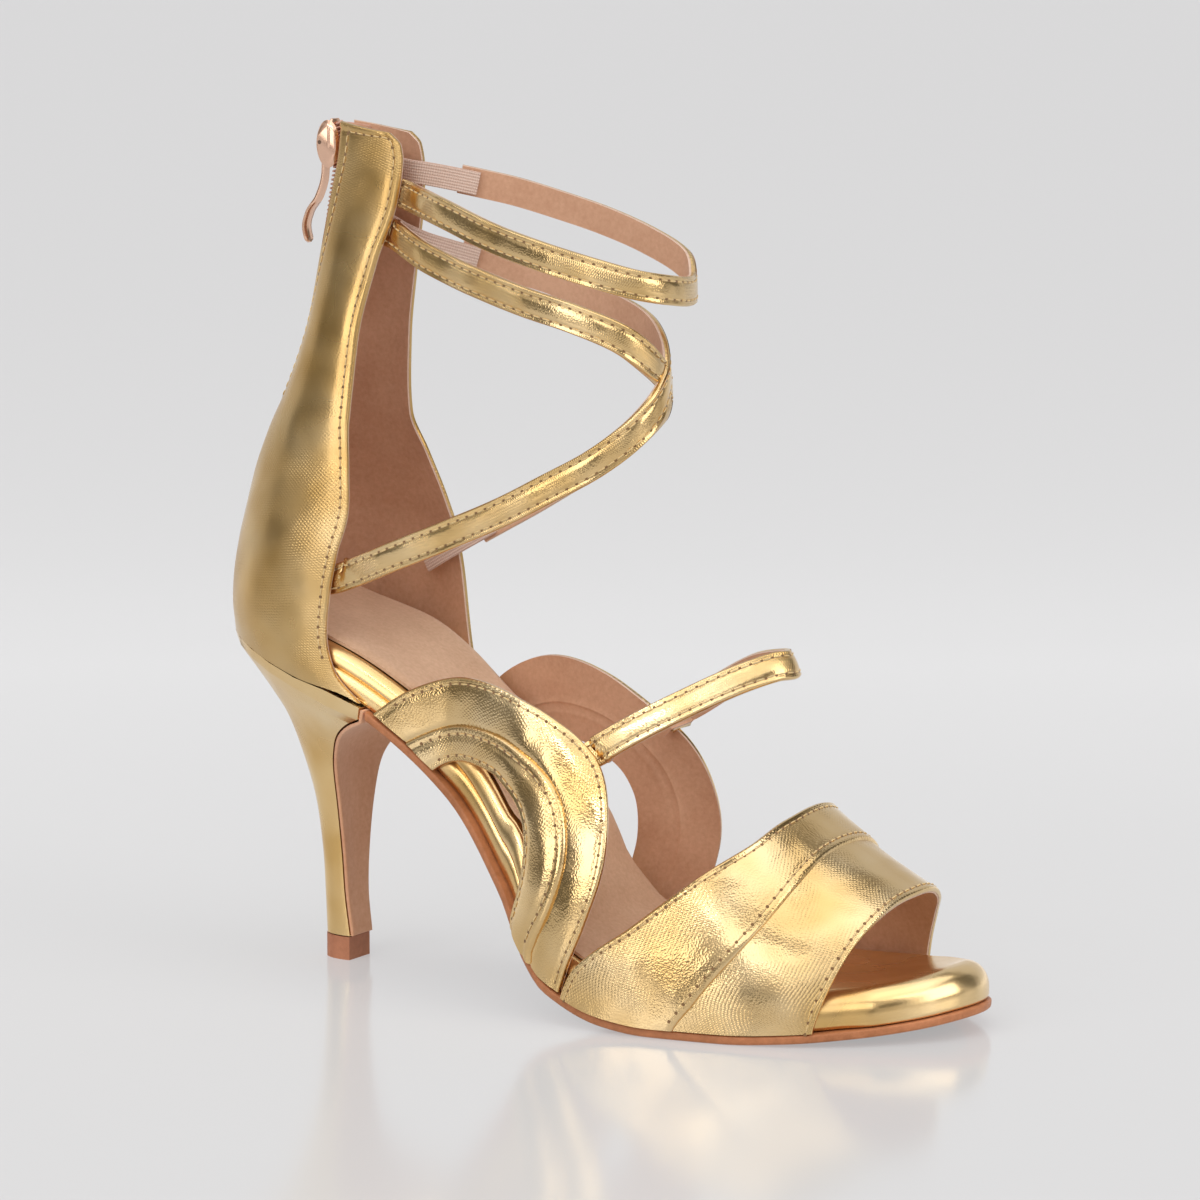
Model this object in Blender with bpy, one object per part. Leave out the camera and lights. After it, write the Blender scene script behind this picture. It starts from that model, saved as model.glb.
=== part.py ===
"""Ballroom dance sandal for the right foot: slender heel, open toe, tall zipped back and crossing straps.

Metres, +Z up, +X towards the toe, +Y towards the inner side of the foot.
The origin is the centre of the heel tip, on the floor that the shoe stands on.
"""
import bmesh
import bpy
from collections import namedtuple
from math import acos, cos, pi, radians, sin
from mathutils import Matrix, Vector

# Driving sizes of the last and the sole
LENGTH = 0.213          # along the floor, back of the seat to the toe
BALL_WIDTH = 0.0784     # across the ball of the foot
HEEL_HEIGHT = 0.0854    # floor to the top of the heel, at the back
HEEL_SETBACK = 0.030    # back of the seat to the centre of the heel tip
INSTEP_HEIGHT = 0.070   # last above the sole where the side bands come down
SEAT_LENGTH = 0.0523    # back of the seat to the heel's front face

# Thicknesses, and the gap that curved neighbours keep
GAP = 0.0003
OUTSOLE = 0.0022
INSOLE_LOWER = 0.0044
INSOLE_UPPER = 0.0046
GROOVE = 0.0006
TOE_BLEND_START = 0.62  # share of the sole's length from which the groove closes
TOE_BLEND = 0.16
TOE_SOFTNESS = 0.0030   # how much further in the roll starts at the toe
TOE_INSET = 0.0007      # footbed's edge inside the outsole's, in front of the toe piece
TOE_BARE = 0.895        # share of the sole's length from which the inset narrows
TOE_BARE_BLEND = 0.035
SOCK = 0.0010
SOCK_INSET = 0.0034
SOCK_END = 0.745        # share of the sole's length
WALL = 0.0016
RAISED = 0.0008         # step where a band laps over its neighbour
STRAP_WIDTH = 0.0074
STRAP = 0.0020
ELASTIC_WIDTH = 0.0060
ELASTIC = 0.0010
LAP_GAP = 0.0007        # a strap's outer face to the wall that it is sewn inside
STRAP_CLEARANCE = 0.06  # share of the wall's depth past its edge before a strap may spread
STRAP_SPREAD = 0.05

# Heel tip and zip
BREAST_COVER = 0.0010
SHAFT_HEIGHT = 0.1316   # top of the heel to the top of the back
ZIP_BOTTOM = 0.46       # share of the shaft's height
ZIP_HALF_GAP = 0.0022
TAPE_BOTTOM = 0.475
TAPE_TOP = 0.995
TAPE = 0.0008
TAPE_LAP = 0.0017
COIL = 0.0016
COIL_HALF_WIDTH = 0.0013
PIN_RADIUS = 0.0006
PIN_CLEARANCE = 0.0003
TAB_WIDTH = 0.0034
TAB_THICKNESS = 0.0010
TAB_LENGTH = 0.0260

OUTER = -1
INNER = 1
STEP_RUN = 0.02         # share of a band's width over which its step rises
ROUNDNESS = 2.3         # exponent of the last's cross section, 2 is an ellipse

# Sole, a row for each section: shares of LENGTH, BALL_WIDTH and HEEL_HEIGHT
Sole = namedtuple("Sole", "along outer inner rise")
SOLE = [
    Sole(0.000, 0.000, 0.000, 1.000),
    Sole(0.020, 0.144, 0.146, 0.996),
    Sole(0.060, 0.243, 0.250, 0.973),
    Sole(0.120, 0.313, 0.322, 0.927),
    Sole(0.200, 0.344, 0.350, 0.862),
    Sole(0.280, 0.328, 0.318, 0.750),
    Sole(0.360, 0.320, 0.262, 0.595),
    Sole(0.450, 0.386, 0.238, 0.340),
    Sole(0.500, 0.458, 0.252, 0.166),
    Sole(0.540, 0.502, 0.278, 0.086),
    Sole(0.620, 0.522, 0.362, 0.016),
    Sole(0.680, 0.508, 0.426, 0.000),
    Sole(0.770, 0.470, 0.472, 0.000),
    Sole(0.840, 0.406, 0.458, 0.008),
    Sole(0.910, 0.290, 0.396, 0.024),
    Sole(0.965, 0.142, 0.296, 0.042),
    Sole(1.000, -0.086, 0.086, 0.060),
]

# Crest of the last above the sole: shares of LENGTH and INSTEP_HEIGHT
Crest = namedtuple("Crest", "along height")
CREST = [
    Crest(0.18, 1.30),
    Crest(0.40, 1.24),
    Crest(0.54, 1.08),
    Crest(0.61, 1.00),
    Crest(0.66, 0.90),
    Crest(0.73, 0.772),
    Crest(0.79, 0.632),
    Crest(0.86, 0.490),
    Crest(0.925, 0.376),
    Crest(1.00, 0.28),
]

# Back of the shoe, a row for each level: up is a share of SHAFT_HEIGHT at the back edge,
# back and fronts are shares of SEAT_LENGTH, spread is a share of the seat's width, and
# the front_up columns are the height of the front edges as shares of SHAFT_HEIGHT
Level = namedtuple("Level", "up back spread outer_front outer_up inner_front inner_up")
QUARTER = [
    Level(0.000, 0.030, 1.00, 0.995, -0.122, 1.060, -0.135),
    Level(0.058, 0.026, 1.02, 0.850, -0.056, 1.013, -0.064),
    Level(0.110, 0.039, 1.03, 0.812, 0.012, 0.987, 0.005),
    Level(0.187, 0.076, 1.02, 0.830, 0.103, 0.964, 0.096),
    Level(0.248, 0.117, 1.00, 0.860, 0.172, 0.937, 0.168),
    Level(0.316, 0.154, 0.87, 0.885, 0.248, 0.912, 0.244),
    Level(0.392, 0.219, 0.70, 0.841, 0.339, 0.857, 0.339),
    Level(0.468, 0.311, 0.57, 0.803, 0.430, 0.797, 0.423),
    Level(0.612, 0.447, 0.44, 0.815, 0.582, 0.832, 0.575),
    Level(0.749, 0.513, 0.33, 0.895, 0.734, 0.908, 0.727),
    Level(0.856, 0.557, 0.25, 0.987, 0.848, 0.971, 0.848),
    Level(0.924, 0.585, 0.21, 1.010, 0.924, 0.987, 0.916),
    Level(0.970, 0.593, 0.19, 0.994, 0.958, 0.975, 0.954),
    Level(1.000, 0.597, 0.18, 0.930, 0.981, 0.918, 0.977),
]

# Heel, a row for each section from the seat down: back and front are heights and places as
# shares of HEEL_HEIGHT and SEAT_LENGTH, spread a share of the seat's width, hollow of the front
Section = namedtuple("Section", "rear_height front_height rear front spread hollow")
HEEL = [
    Section(1.000, 0.800, 0.000, 1.000, 1.00, 0.000),
    Section(0.955, 0.770, 0.058, 0.880, 0.87, 0.040),
    Section(0.880, 0.725, 0.155, 0.765, 0.69, 0.055),
    Section(0.780, 0.670, 0.268, 0.690, 0.53, 0.045),
    Section(0.660, 0.600, 0.352, 0.645, 0.405, 0.030),
    Section(0.500, 0.480, 0.432, 0.632, 0.300, 0.018),
    Section(0.340, 0.335, 0.462, 0.630, 0.222, 0.010),
    Section(0.200, 0.200, 0.472, 0.634, 0.186, 0.005),
    Section(0.074, 0.074, 0.478, 0.658, 0.172, 0.000),
]

# Side bands, a row for each station from the back end to the front end, seen from the side:
# edge is the free edge, cut the edge of the cut-out, as shares of LENGTH and HEEL_HEIGHT,
# and seam is where the raised band starts, as a share of the way from edge to cut
Band = namedtuple("Band", "edge_along edge_up cut_along cut_up seam")
SIDE_BAND = [
    Band(0.252, 0.800, 0.340, 0.655, 0.50),
    Band(0.298, 0.880, 0.358, 0.684, 0.55),
    Band(0.341, 0.928, 0.376, 0.700, 0.56),
    Band(0.380, 0.950, 0.397, 0.706, 0.56),
    Band(0.421, 0.946, 0.420, 0.700, 0.55),
    Band(0.463, 0.920, 0.445, 0.685, 0.53),
    Band(0.507, 0.874, 0.466, 0.656, 0.51),
    Band(0.552, 0.806, 0.484, 0.622, 0.49),
    Band(0.583, 0.738, 0.496, 0.580, 0.48),
    Band(0.602, 0.650, 0.503, 0.535, 0.47),
    Band(0.612, 0.533, 0.505, 0.480, 0.46),
    Band(0.610, 0.424, 0.503, 0.420, 0.46),
    Band(0.594, 0.292, 0.497, 0.365, 0.47),
    Band(0.575, 0.180, 0.491, 0.325, 0.50),
    Band(0.561, 0.080, 0.486, 0.290, 0.54),
]
INNER_BAND_SHIFT = 0.016   # the inner side band starts further forward, share of LENGTH
INNER_BAND_SCALE = 0.94    # and is shorter
FOOT_GAP = 0.00057         # between a side band's foot and the sole's bent edge

# Toe piece, a row for each place round the arch: around runs 0 at the outer sole edge to 1 at
# the inner one, and rear, seam and front are shares of LENGTH
Arch = namedtuple("Arch", "around rear seam front")
VAMP = [
    Arch(0.00, 0.567, 0.714, 0.867),
    Arch(0.03, 0.586, 0.738, 0.872),
    Arch(0.10, 0.652, 0.774, 0.882),
    Arch(0.19, 0.712, 0.803, 0.893),
    Arch(0.30, 0.754, 0.818, 0.904),
    Arch(0.42, 0.767, 0.821, 0.911),
    Arch(0.50, 0.767, 0.822, 0.913),
    Arch(0.60, 0.762, 0.820, 0.910),
    Arch(0.71, 0.744, 0.814, 0.900),
    Arch(0.81, 0.712, 0.798, 0.882),
    Arch(0.90, 0.662, 0.778, 0.866),
    Arch(0.97, 0.610, 0.748, 0.858),
    Arch(1.00, 0.598, 0.738, 0.856),
]

# Straps, a row for each place on the centre line of their lining side: forward as a share of
# ANKLE_REACH, side as a share of ANKLE_HALF_WIDTH, up as a share of SHAFT_HEIGHT from the
# top of the heel, and lean in degrees, the top edge leaning inwards
STRAP_BACK = 0.0027     # where the tables start, behind the shaft's front edge
ANKLE_REACH = 0.0812
ANKLE_HALF_WIDTH = 0.0222
Place = namedtuple("Place", "forward side up lean")
ANKLE_STRAP = [
    Place(-0.07, -0.143, 0.870, 12),
    Place(0.01, -0.145, 0.865, 10),
    Place(0.038, -0.155, 0.862, 9),
    Place(0.085, -0.240, 0.857, 7),
    Place(0.16, -0.42, 0.851, 5),
    Place(0.25, -0.60, 0.841, 3),
    Place(0.47, -0.85, 0.805, 2),
    Place(0.67, -0.97, 0.777, 2),
    Place(0.85, -0.94, 0.751, 2),
    Place(0.96, -0.74, 0.730, 2),
    Place(1.01, -0.36, 0.716, 2),
    Place(0.998, 0.10, 0.707, 2),
    Place(0.95, 0.47, 0.712, 2),
    Place(0.88, 0.72, 0.747, 2),
    Place(0.73, 0.88, 0.783, 2),
    Place(0.56, 0.94, 0.815, 2),
    Place(0.39, 0.89, 0.843, 3),
    Place(0.27, 0.76, 0.864, 5),
    Place(0.17, 0.56, 0.880, 6),
    Place(0.09, 0.36, 0.893, 8),
    Place(0.045, 0.235, 0.900, 10),
    Place(0.015, 0.160, 0.904, 11),
    Place(-0.04, 0.148, 0.909, 12),
    Place(-0.09, 0.145, 0.913, 14),
]
CROSS_REACH = 0.0805
FALLING_STRAP = [
    Place(-0.10, -0.180, 0.798, 12),
    Place(-0.04, -0.195, 0.792, 10),
    Place(0.00, -0.215, 0.787, 8),
    Place(0.045, -0.30, 0.780, 6),
    Place(0.11, -0.45, 0.769, 4),
    Place(0.19, -0.60, 0.755, 3),
    Place(0.30, -0.74, 0.737, 3),
    Place(0.41, -0.85, 0.720, 2),
    Place(0.61, -0.96, 0.690, 2),
    Place(0.79, -0.98, 0.665, 2),
    Place(0.925, -0.84, 0.631, 2),
    Place(0.975, -0.50, 0.580, 2),
    Place(0.945, 0.00, 0.530, 2),
    Place(0.87, 0.40, 0.487, 2),
    Place(0.79, 0.66, 0.452, 2),
    Place(0.66, 0.86, 0.395, 1),
    Place(0.48, 1.00, 0.329, 0),
    Place(0.29, 1.06, 0.262, -2),
    Place(0.13, 1.045, 0.208, -3),
    Place(0.04, 1.005, 0.176, -3),
    Place(-0.035, 0.995, 0.149, -3),
    Place(-0.11, 1.01, 0.122, -3),
]
RISING_STRAP = [
    Place(-0.16, -1.00, 0.125, -2),
    Place(-0.09, -0.995, 0.132, -2),
    Place(-0.05, -1.00, 0.139, -2),
    Place(0.02, -1.055, 0.155, -2),
    Place(0.10, -1.115, 0.175, -2),
    Place(0.18, -1.15, 0.196, -2),
    Place(0.36, -1.17, 0.241, -1),
    Place(0.56, -1.16, 0.294, 0),
    Place(0.715, -1.10, 0.344, 1),
    Place(0.86, -0.98, 0.395, 1),
    Place(0.955, -0.80, 0.447, 2),
    Place(0.990, -0.53, 0.498, 2),
    Place(0.970, -0.20, 0.545, 2),
    Place(0.895, 0.16, 0.593, 2),
    Place(0.775, 0.52, 0.628, 2),
    Place(0.58, 0.84, 0.658, 2),
    Place(0.38, 0.91, 0.693, 2),
    Place(0.27, 0.82, 0.712, 3),
    Place(0.17, 0.65, 0.731, 4),
    Place(0.09, 0.46, 0.748, 6),
    Place(0.03, 0.31, 0.762, 7),
    Place(-0.02, 0.240, 0.776, 8),
    Place(-0.08, 0.232, 0.793, 10),
    Place(-0.14, 0.215, 0.810, 12),
]
# Leather shares of each strap's length, from its own first row; elastic makes the rest
ANKLE_LEATHER = 0.91
FALLING_LEATHER = 0.925
RISING_LEATHER = 0.895
ELASTIC_STEPS = 1       # steps of a strap's path over which leather and elastic lap
ANKLE_STEPS = 44        # steps along each strap's path
CROSS_STEPS = 48
INSTEP_STEPS = 30
CROSS_STEP = 0.0003     # how far the rising strap stands outside the falling one's line

# Instep strap on its own loop: forward as a share of INSTEP_REACH, side as a share of
# INSTEP_HALF_WIDTH, up as a share of HEEL_HEIGHT
INSTEP_BACK = 0.0120    # where the table starts, behind the side bands' foremost edge
INSTEP_REACH = 0.0400
INSTEP_HALF_WIDTH = 0.0240
INSTEP_STRAP = [
    Place(-0.10, -1.10, 0.714, 24),
    Place(0.075, -1.06, 0.773, 24),
    Place(0.30, -0.875, 0.843, 26),
    Place(0.575, -0.60, 0.920, 28),
    Place(0.825, -0.31, 0.984, 28),
    Place(0.995, -0.02, 1.019, 26),
    Place(1.025, 0.17, 1.018, 24),
    Place(0.94, 0.38, 1.013, 24),
    Place(0.69, 0.56, 0.984, 26),
    Place(0.39, 0.72, 0.913, 28),
    Place(0.16, 0.72, 0.840, 30),
    Place(-0.01, 0.56, 0.775, 32),
]

# Pull tab seen from the side, from the pin to its end: shares of TAB_LENGTH
Bend = namedtuple("Bend", "back down")
TAB = [
    Bend(0.00, 0.00),
    Bend(0.00, 0.15),
    Bend(0.01, 0.33),
    Bend(0.08, 0.54),
    Bend(0.195, 0.70),
    Bend(0.235, 0.84),
    Bend(0.200, 1.00),
]

# Slider: sizes and its place as a share of the shaft's height
SLIDER_UP = 0.955
SLIDER_HEIGHT = 0.0120
SLIDER_WIDTH = 0.0062
SLIDER_PLATE = 0.0014
EAR = 0.0009
EAR_HEIGHT = 0.0060
PIN_REACH = 0.0019      # plate's rear face to the centre of the pin
EYE = 0.0008            # ring of the tab's eye

FINISHES = {
    "gold leather": ((0.72, 0.50, 0.20, 1.0), 0.22, 1.0),
    "tan leather": ((0.52, 0.27, 0.13, 1.0), 0.50, 0.0),
    "brown leather": ((0.36, 0.20, 0.14, 1.0), 0.55, 0.0),
    "tan lift": ((0.40, 0.22, 0.13, 1.0), 0.45, 0.0),
    "beige suede": ((0.55, 0.38, 0.28, 1.0), 0.90, 0.0),
    "nude tape": ((0.62, 0.42, 0.33, 1.0), 0.75, 0.0),
    "nude elastic": ((0.70, 0.53, 0.43, 1.0), 0.80, 0.0),
    "rose gold": ((0.85, 0.56, 0.42, 1.0), 0.20, 1.0),
}


def cubic(knots, values, at, monotone=True):
    """Value at a place on a cubic through the knots; monotone keeps flat runs flat."""
    last = len(knots) - 1
    at = min(max(at, knots[0]), knots[-1])
    i = 0
    while i < last - 1 and at > knots[i + 1]:
        i += 1
    rises = [(values[k + 1] - values[k]) / (knots[k + 1] - knots[k]) for k in range(last)]

    def slope(k):
        if k == 0:
            return rises[0]
        if k == last:
            return rises[-1]
        before, after = rises[k - 1], rises[k]
        if not monotone:
            return (values[k + 1] - values[k - 1]) / (knots[k + 1] - knots[k - 1])
        return 0.0 if before * after <= 0 else 2 * before * after / (before + after)

    run = knots[i + 1] - knots[i]
    t = (at - knots[i]) / run
    return (values[i] * (1 + 2 * t) * (1 - t) ** 2 + slope(i) * run * t * (1 - t) ** 2
            + values[i + 1] * t * t * (3 - 2 * t) - slope(i + 1) * run * t * t * (1 - t))


def read(table, column, at, monotone=True):
    """One named column of a table at a place given in its first column."""
    return cubic([row[0] for row in table], [getattr(row, column) for row in table], at, monotone)


def turning(along):
    """Spreads out both ends of the sole, where its outline is round."""
    return acos(1 - 2 * min(max(along, 0.0), 1.0)) / pi


def half_width(side, along):
    """Distance of the sole's edge from the centre line."""
    column = "outer" if side == OUTER else "inner"
    knots = [turning(row.along) for row in SOLE]
    values = [getattr(row, column) for row in SOLE]
    return cubic(knots, values, turning(along)) * BALL_WIDTH


def sole_x(along):
    return along * LENGTH - HEEL_SETBACK


def sole_along(x):
    return (x + HEEL_SETBACK) / LENGTH


def sole_edge(side, along, inset=0.0):
    """Point of the sole's outline in plan, moved inwards by inset."""
    turn = turning(along)
    ends = []
    for step in (-0.004, 0.004):
        share = (1 - cos(pi * min(max(turn + step, 0.0), 1.0))) / 2
        ends.append(Vector((sole_x(share), side * half_width(side, share))))
    travel = (ends[1] - ends[0]).normalized()
    outward = Vector((-travel.y, travel.x)) * side
    if along <= 0:
        outward = Vector((-1, 0))
    if along >= 1:
        outward = Vector((1, 0))
    return Vector((sole_x(along), side * half_width(side, along))) - outward * inset


def underside(x):
    """Height of the sole's lower face."""
    return read(SOLE, "rise", sole_along(x)) * HEEL_HEIGHT


def sole_z(x, above):
    """Height of a layer that lies the given thickness above the sole's lower face."""
    step = 0.0015
    slope = (underside(x + step) - underside(x - step)) / (2 * step)
    return underside(x) + above * (1 + slope * slope) ** 0.5


BREAST_X = SEAT_LENGTH - HEEL_SETBACK
OUTSOLE_BACK = BREAST_X + 2 * GAP + BREAST_COVER
RAMP = 0.020


def support(x):
    """Thickness under the insole: none on the heel's seat, the outsole in front of it."""
    t = min(max((x - BREAST_X + RAMP) / RAMP, 0.0), 1.0)
    return OUTSOLE * t * t * (3 - 2 * t)


def sole_top(x):
    """Height of what carries the insole and the upper."""
    return sole_z(x, support(x) + GAP)


INSOLE_TOP = OUTSOLE + GAP + INSOLE_LOWER + INSOLE_UPPER
INSOLE_INSET = WALL + 1.3 * GAP


def insole_inset(along):
    """Inside the upper's walls, and nearly flush with the outsole in front of the toe piece."""
    t = min(max((along - TOE_BARE) / TOE_BARE_BLEND, 0.0), 1.0)
    return INSOLE_INSET + (TOE_INSET - INSOLE_INSET) * t * t * (3 - 2 * t)


def last_edge(side, x, z):
    """Lining side of the upper beside the foot, at a place seen from the side."""
    along = sole_along(x)
    width = half_width(side, along) - WALL
    crest = read(CREST, "height", along) * INSTEP_HEIGHT
    share = min(max((z - sole_top(x)) / crest, 0.0), 0.999)
    return Vector((x, side * width * (1 - share ** ROUNDNESS) ** (1 / ROUNDNESS), z))


def finish(name):
    """Material of one of the named finishes."""
    material = bpy.data.materials.get(name)
    if material is None:
        colour, roughness, metallic = FINISHES[name]
        material = bpy.data.materials.new(name)
        material.use_nodes = True
        shader = material.node_tree.nodes["Principled BSDF"]
        shader.inputs["Base Color"].default_value = colour
        shader.inputs["Roughness"].default_value = roughness
        shader.inputs["Metallic"].default_value = metallic
        material.diffuse_color = colour
    return material


def place(name, bm, material, guide=False):
    """Object from a bmesh, smooth shaded, in the shoe's collection or the guides'."""
    bmesh.ops.recalc_face_normals(bm, faces=bm.faces)
    mesh = bpy.data.meshes.new(name)
    bm.to_mesh(mesh)
    bm.free()
    mesh.shade_smooth()
    mesh.set_sharp_from_angle(angle=radians(35))
    piece = bpy.data.objects.new(name, mesh)
    piece.data.materials.append(finish(material))
    if guide:
        piece.hide_render = True
        piece.display_type = "WIRE"
        guides.objects.link(piece)
    else:
        shoe.objects.link(piece)
    return piece


def unite(piece, guide):
    """Joins a guide's solid to a piece."""
    modifier = piece.modifiers.new("Join " + guide.name, "BOOLEAN")
    modifier.operation = "UNION"
    modifier.solver = "EXACT"
    modifier.object = guide


def cap(bm, ring):
    """Closes a ring of two mirrored halves with a strip across each pair of points."""
    last = len(ring) - 1
    for i in range(last // 2):
        bm.faces.new((ring[i], ring[last - i], ring[last - i - 1], ring[i + 1]))


def loft(name, rings, material, rungs=0, mirrored=False):
    """Closed solid through rings of points; rungs caps the first ring with strips across it."""
    bm = bmesh.new()
    rows = [[bm.verts.new(point) for point in ring] for ring in rings]
    count = len(rows[0])
    for lower, upper in zip(rows, rows[1:]):
        for i in range(count):
            j = (i + 1) % count
            bm.faces.new((lower[i], lower[j], upper[j], upper[i]))
    first = rows[0]
    if mirrored:
        cap(bm, first)
        cap(bm, rows[-1])
        return place(name, bm, material)
    bm.faces.new(rows[-1])
    if rungs:
        for i in range(rungs - 1):
            outer, inner = first[rungs - i], first[rungs + i]
            next_outer, next_inner = first[rungs - i - 1], first[rungs + i + 1]
            corners = [outer, inner, next_inner, next_outer] if i else [outer, next_inner, next_outer]
            bm.faces.new(corners)
        bm.faces.new([first[1], first[0]] + first[:2 * rungs - 2:-1])
    else:
        bm.faces.new(first[::-1])
    return place(name, bm, material)


def panel(name, grid, heights, material, facing, guide=False):
    """Wall on a grid of points of its lining side; heights gives its thickness per column."""
    rows, columns = len(grid), len(grid[0])
    bm = bmesh.new()
    lining = [[bm.verts.new(point) for point in row] for row in grid]
    face = []
    for i in range(rows):
        face.append([])
        for j in range(columns):
            run = grid[min(i + 1, rows - 1)][j] - grid[max(i - 1, 0)][j]
            across = grid[i][min(j + 1, columns - 1)] - grid[i][max(j - 1, 0)]
            normal = run.cross(across).normalized() * facing
            face[-1].append(bm.verts.new(grid[i][j] + normal * heights[j]))
    for i in range(rows - 1):
        for j in range(columns - 1):
            bm.faces.new((lining[i][j], lining[i + 1][j], lining[i + 1][j + 1], lining[i][j + 1]))
            bm.faces.new((face[i][j], face[i][j + 1], face[i + 1][j + 1], face[i + 1][j]))
    rim = [(i, 0) for i in range(rows)] + [(rows - 1, j) for j in range(1, columns)]
    rim += [(i, columns - 1) for i in range(rows - 2, -1, -1)]
    rim += [(0, j) for j in range(columns - 2, 0, -1)]
    for (i, j), (k, m) in zip(rim, rim[1:] + rim[:1]):
        bm.faces.new((lining[i][j], face[i][j], face[k][m], lining[k][m]))
    return place(name, bm, material, guide)


ROUND_END = 0.0001      # share of the sole's length cut off at a layer's blunt end
STATIONS = [k / 34 for k in range(1, 34)]           # turns of a full-length layer's sections
STATIONS = sorted(STATIONS + [(k + 0.5) / 34 for k in range(14, 20)])   # closer at the bend


def layer_rings(start, end, profile):
    """Sections of a sole layer; profile gives rows of inset and height at a share of the length.

    Layers share their stations between the ends, so that their faces stay parallel.
    """
    rings = []
    first, last = turning(start), turning(end)
    for turn in [first] + [turn for turn in STATIONS if first + 0.01 < turn < last - 0.01] + [last]:
        along = (1 - cos(pi * turn)) / 2
        x = sole_x(along)
        outer, inner = [], []
        for inset, above in profile(along):
            height = sole_z(x, above)
            for side, points in ((OUTER, outer), (INNER, inner)):
                points.append(sole_edge(side, along, inset).to_3d() + Vector((0, 0, height)))
        rings.append(outer + inner[::-1])
    return rings


def make_outsole():
    edge = 0.0005

    def profile(along):
        return [(edge, 0.0), (0.0, edge), (0.0, OUTSOLE - edge), (edge, OUTSOLE)]

    rings = layer_rings(sole_along(OUTSOLE_BACK), 1 - ROUND_END, profile)
    return loft("outsole", rings, "tan leather", mirrored=True)


def insole_profile(along):
    """Flat strip, groove and roll; towards the toe the groove closes and the roll grows rounder."""
    bottom = OUTSOLE + GAP
    seam = bottom + INSOLE_LOWER
    toe = min(max((along - TOE_BLEND_START) / TOE_BLEND, 0.0), 1.0)
    groove = GROOVE * (1 - toe)
    soft = TOE_SOFTNESS * toe
    edge = insole_inset(along)
    return [
        (edge + 0.0002, support(sole_x(along)) + 1.4 * GAP),
        (edge, bottom + 0.0008),
        (edge, seam - GROOVE),
        (edge + groove, seam),
        (edge, seam + GROOVE),
        (edge + 0.12 * soft, seam + INSOLE_UPPER * 0.45),
        (edge + 0.0008 + 0.42 * soft, seam + INSOLE_UPPER * 0.78),
        (edge + 0.0028 + soft, seam + INSOLE_UPPER),
    ]


def make_insole():
    rings = layer_rings(ROUND_END, 1 - ROUND_END, insole_profile)
    return loft("insole", rings, "gold leather", mirrored=True)


def make_sock_lining():
    low = INSOLE_TOP + 2 * GAP
    inset = INSOLE_INSET + SOCK_INSET

    def profile(along):
        return [(inset, low), (inset, low + SOCK * 0.6), (inset + 0.0006, low + SOCK)]

    rings = layer_rings(ROUND_END, SOCK_END, profile)
    return loft("sock_lining", rings, "beige suede", mirrored=True)


SEAT_POINTS = 8
BREAST_POINTS = 4


def seat_share(turn):
    """Share of the sole's length at a turn round the seat, 0 at the back, 1 at the front face."""
    return sole_along(BREAST_X) * (1 - cos(turn * pi / 2))


def heel_section(row, inset):
    """Ring of a heel section: outer corner, round the back, inner corner, front face."""
    rear = row.rear * SEAT_LENGTH - HEEL_SETBACK
    front = row.front * SEAT_LENGTH - HEEL_SETBACK
    points = []
    for side in (OUTER, INNER):
        curve = []
        for k in range(SEAT_POINTS + 1):
            share = seat_share(k / SEAT_POINTS)
            forward = share / sole_along(BREAST_X)
            x = rear + (front - rear) * forward
            y = side * (half_width(side, share) * row.spread - inset * min(1.0, k))
            z = (row.rear_height + (row.front_height - row.rear_height) * forward) * HEEL_HEIGHT
            curve.append(Vector((x, y, z)))
        points += curve[::-1] if side == OUTER else curve[1:]
    start, end = points[-1], points[0]
    for k in range(1, BREAST_POINTS):
        t = k / BREAST_POINTS
        point = start.lerp(end, t)
        point.x -= row.hollow * SEAT_LENGTH * (1 - (2 * t - 1) ** 2)
        points.append(point)
    return points


def seated(ring):
    """Lays a ring under the insole and the back walls."""
    return [Vector((p.x, p.y, sole_z(p.x, support(p.x)) - GAP / 3)) for p in ring]


def heel_rings(inset=0.0):
    rings = [heel_section(row, inset) for row in HEEL]
    rings[0] = seated(rings[0])
    return rings


def make_heel():
    return loft("heel", heel_rings(), "gold leather", rungs=SEAT_POINTS)


def make_breast_cover():
    """Brown flap that lines the heel's front face, from the outsole down to the tip."""
    grid = []
    rings = heel_rings()
    for k, ring in enumerate(rings):
        front = [ring[0]] + ring[:-BREAST_POINTS:-1] + [ring[2 * SEAT_POINTS]]
        clear = Vector((1.2 * GAP, 0, -1.6 * GAP * (1 - k / (len(rings) - 1))))
        grid.append([point + clear for point in front])
    thickness = [BREAST_COVER * 0.6] + [BREAST_COVER] * (BREAST_POINTS - 1) + [BREAST_COVER * 0.6]
    return panel("heel_breast_cover", grid, thickness, "brown leather", 1)


def make_top_lift():
    foot = heel_section(HEEL[-1], -0.0002)
    high = HEEL[-1].rear_height * HEEL_HEIGHT - GAP
    rings = [[Vector((p.x, p.y, high)) for p in foot], [Vector((p.x, p.y, 0.0)) for p in foot]]
    return loft("top_lift", rings, "tan lift", rungs=SEAT_POINTS)


def quarter_edge(side, turn):
    """Lining side of the seat's outline at a turn from the back to the front edge."""
    column = "outer_front" if side == OUTER else "inner_front"
    end = sole_along(getattr(QUARTER[0], column) * SEAT_LENGTH - HEEL_SETBACK)
    return sole_edge(side, end * (1 - cos(turn * pi / 2)), WALL)


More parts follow.
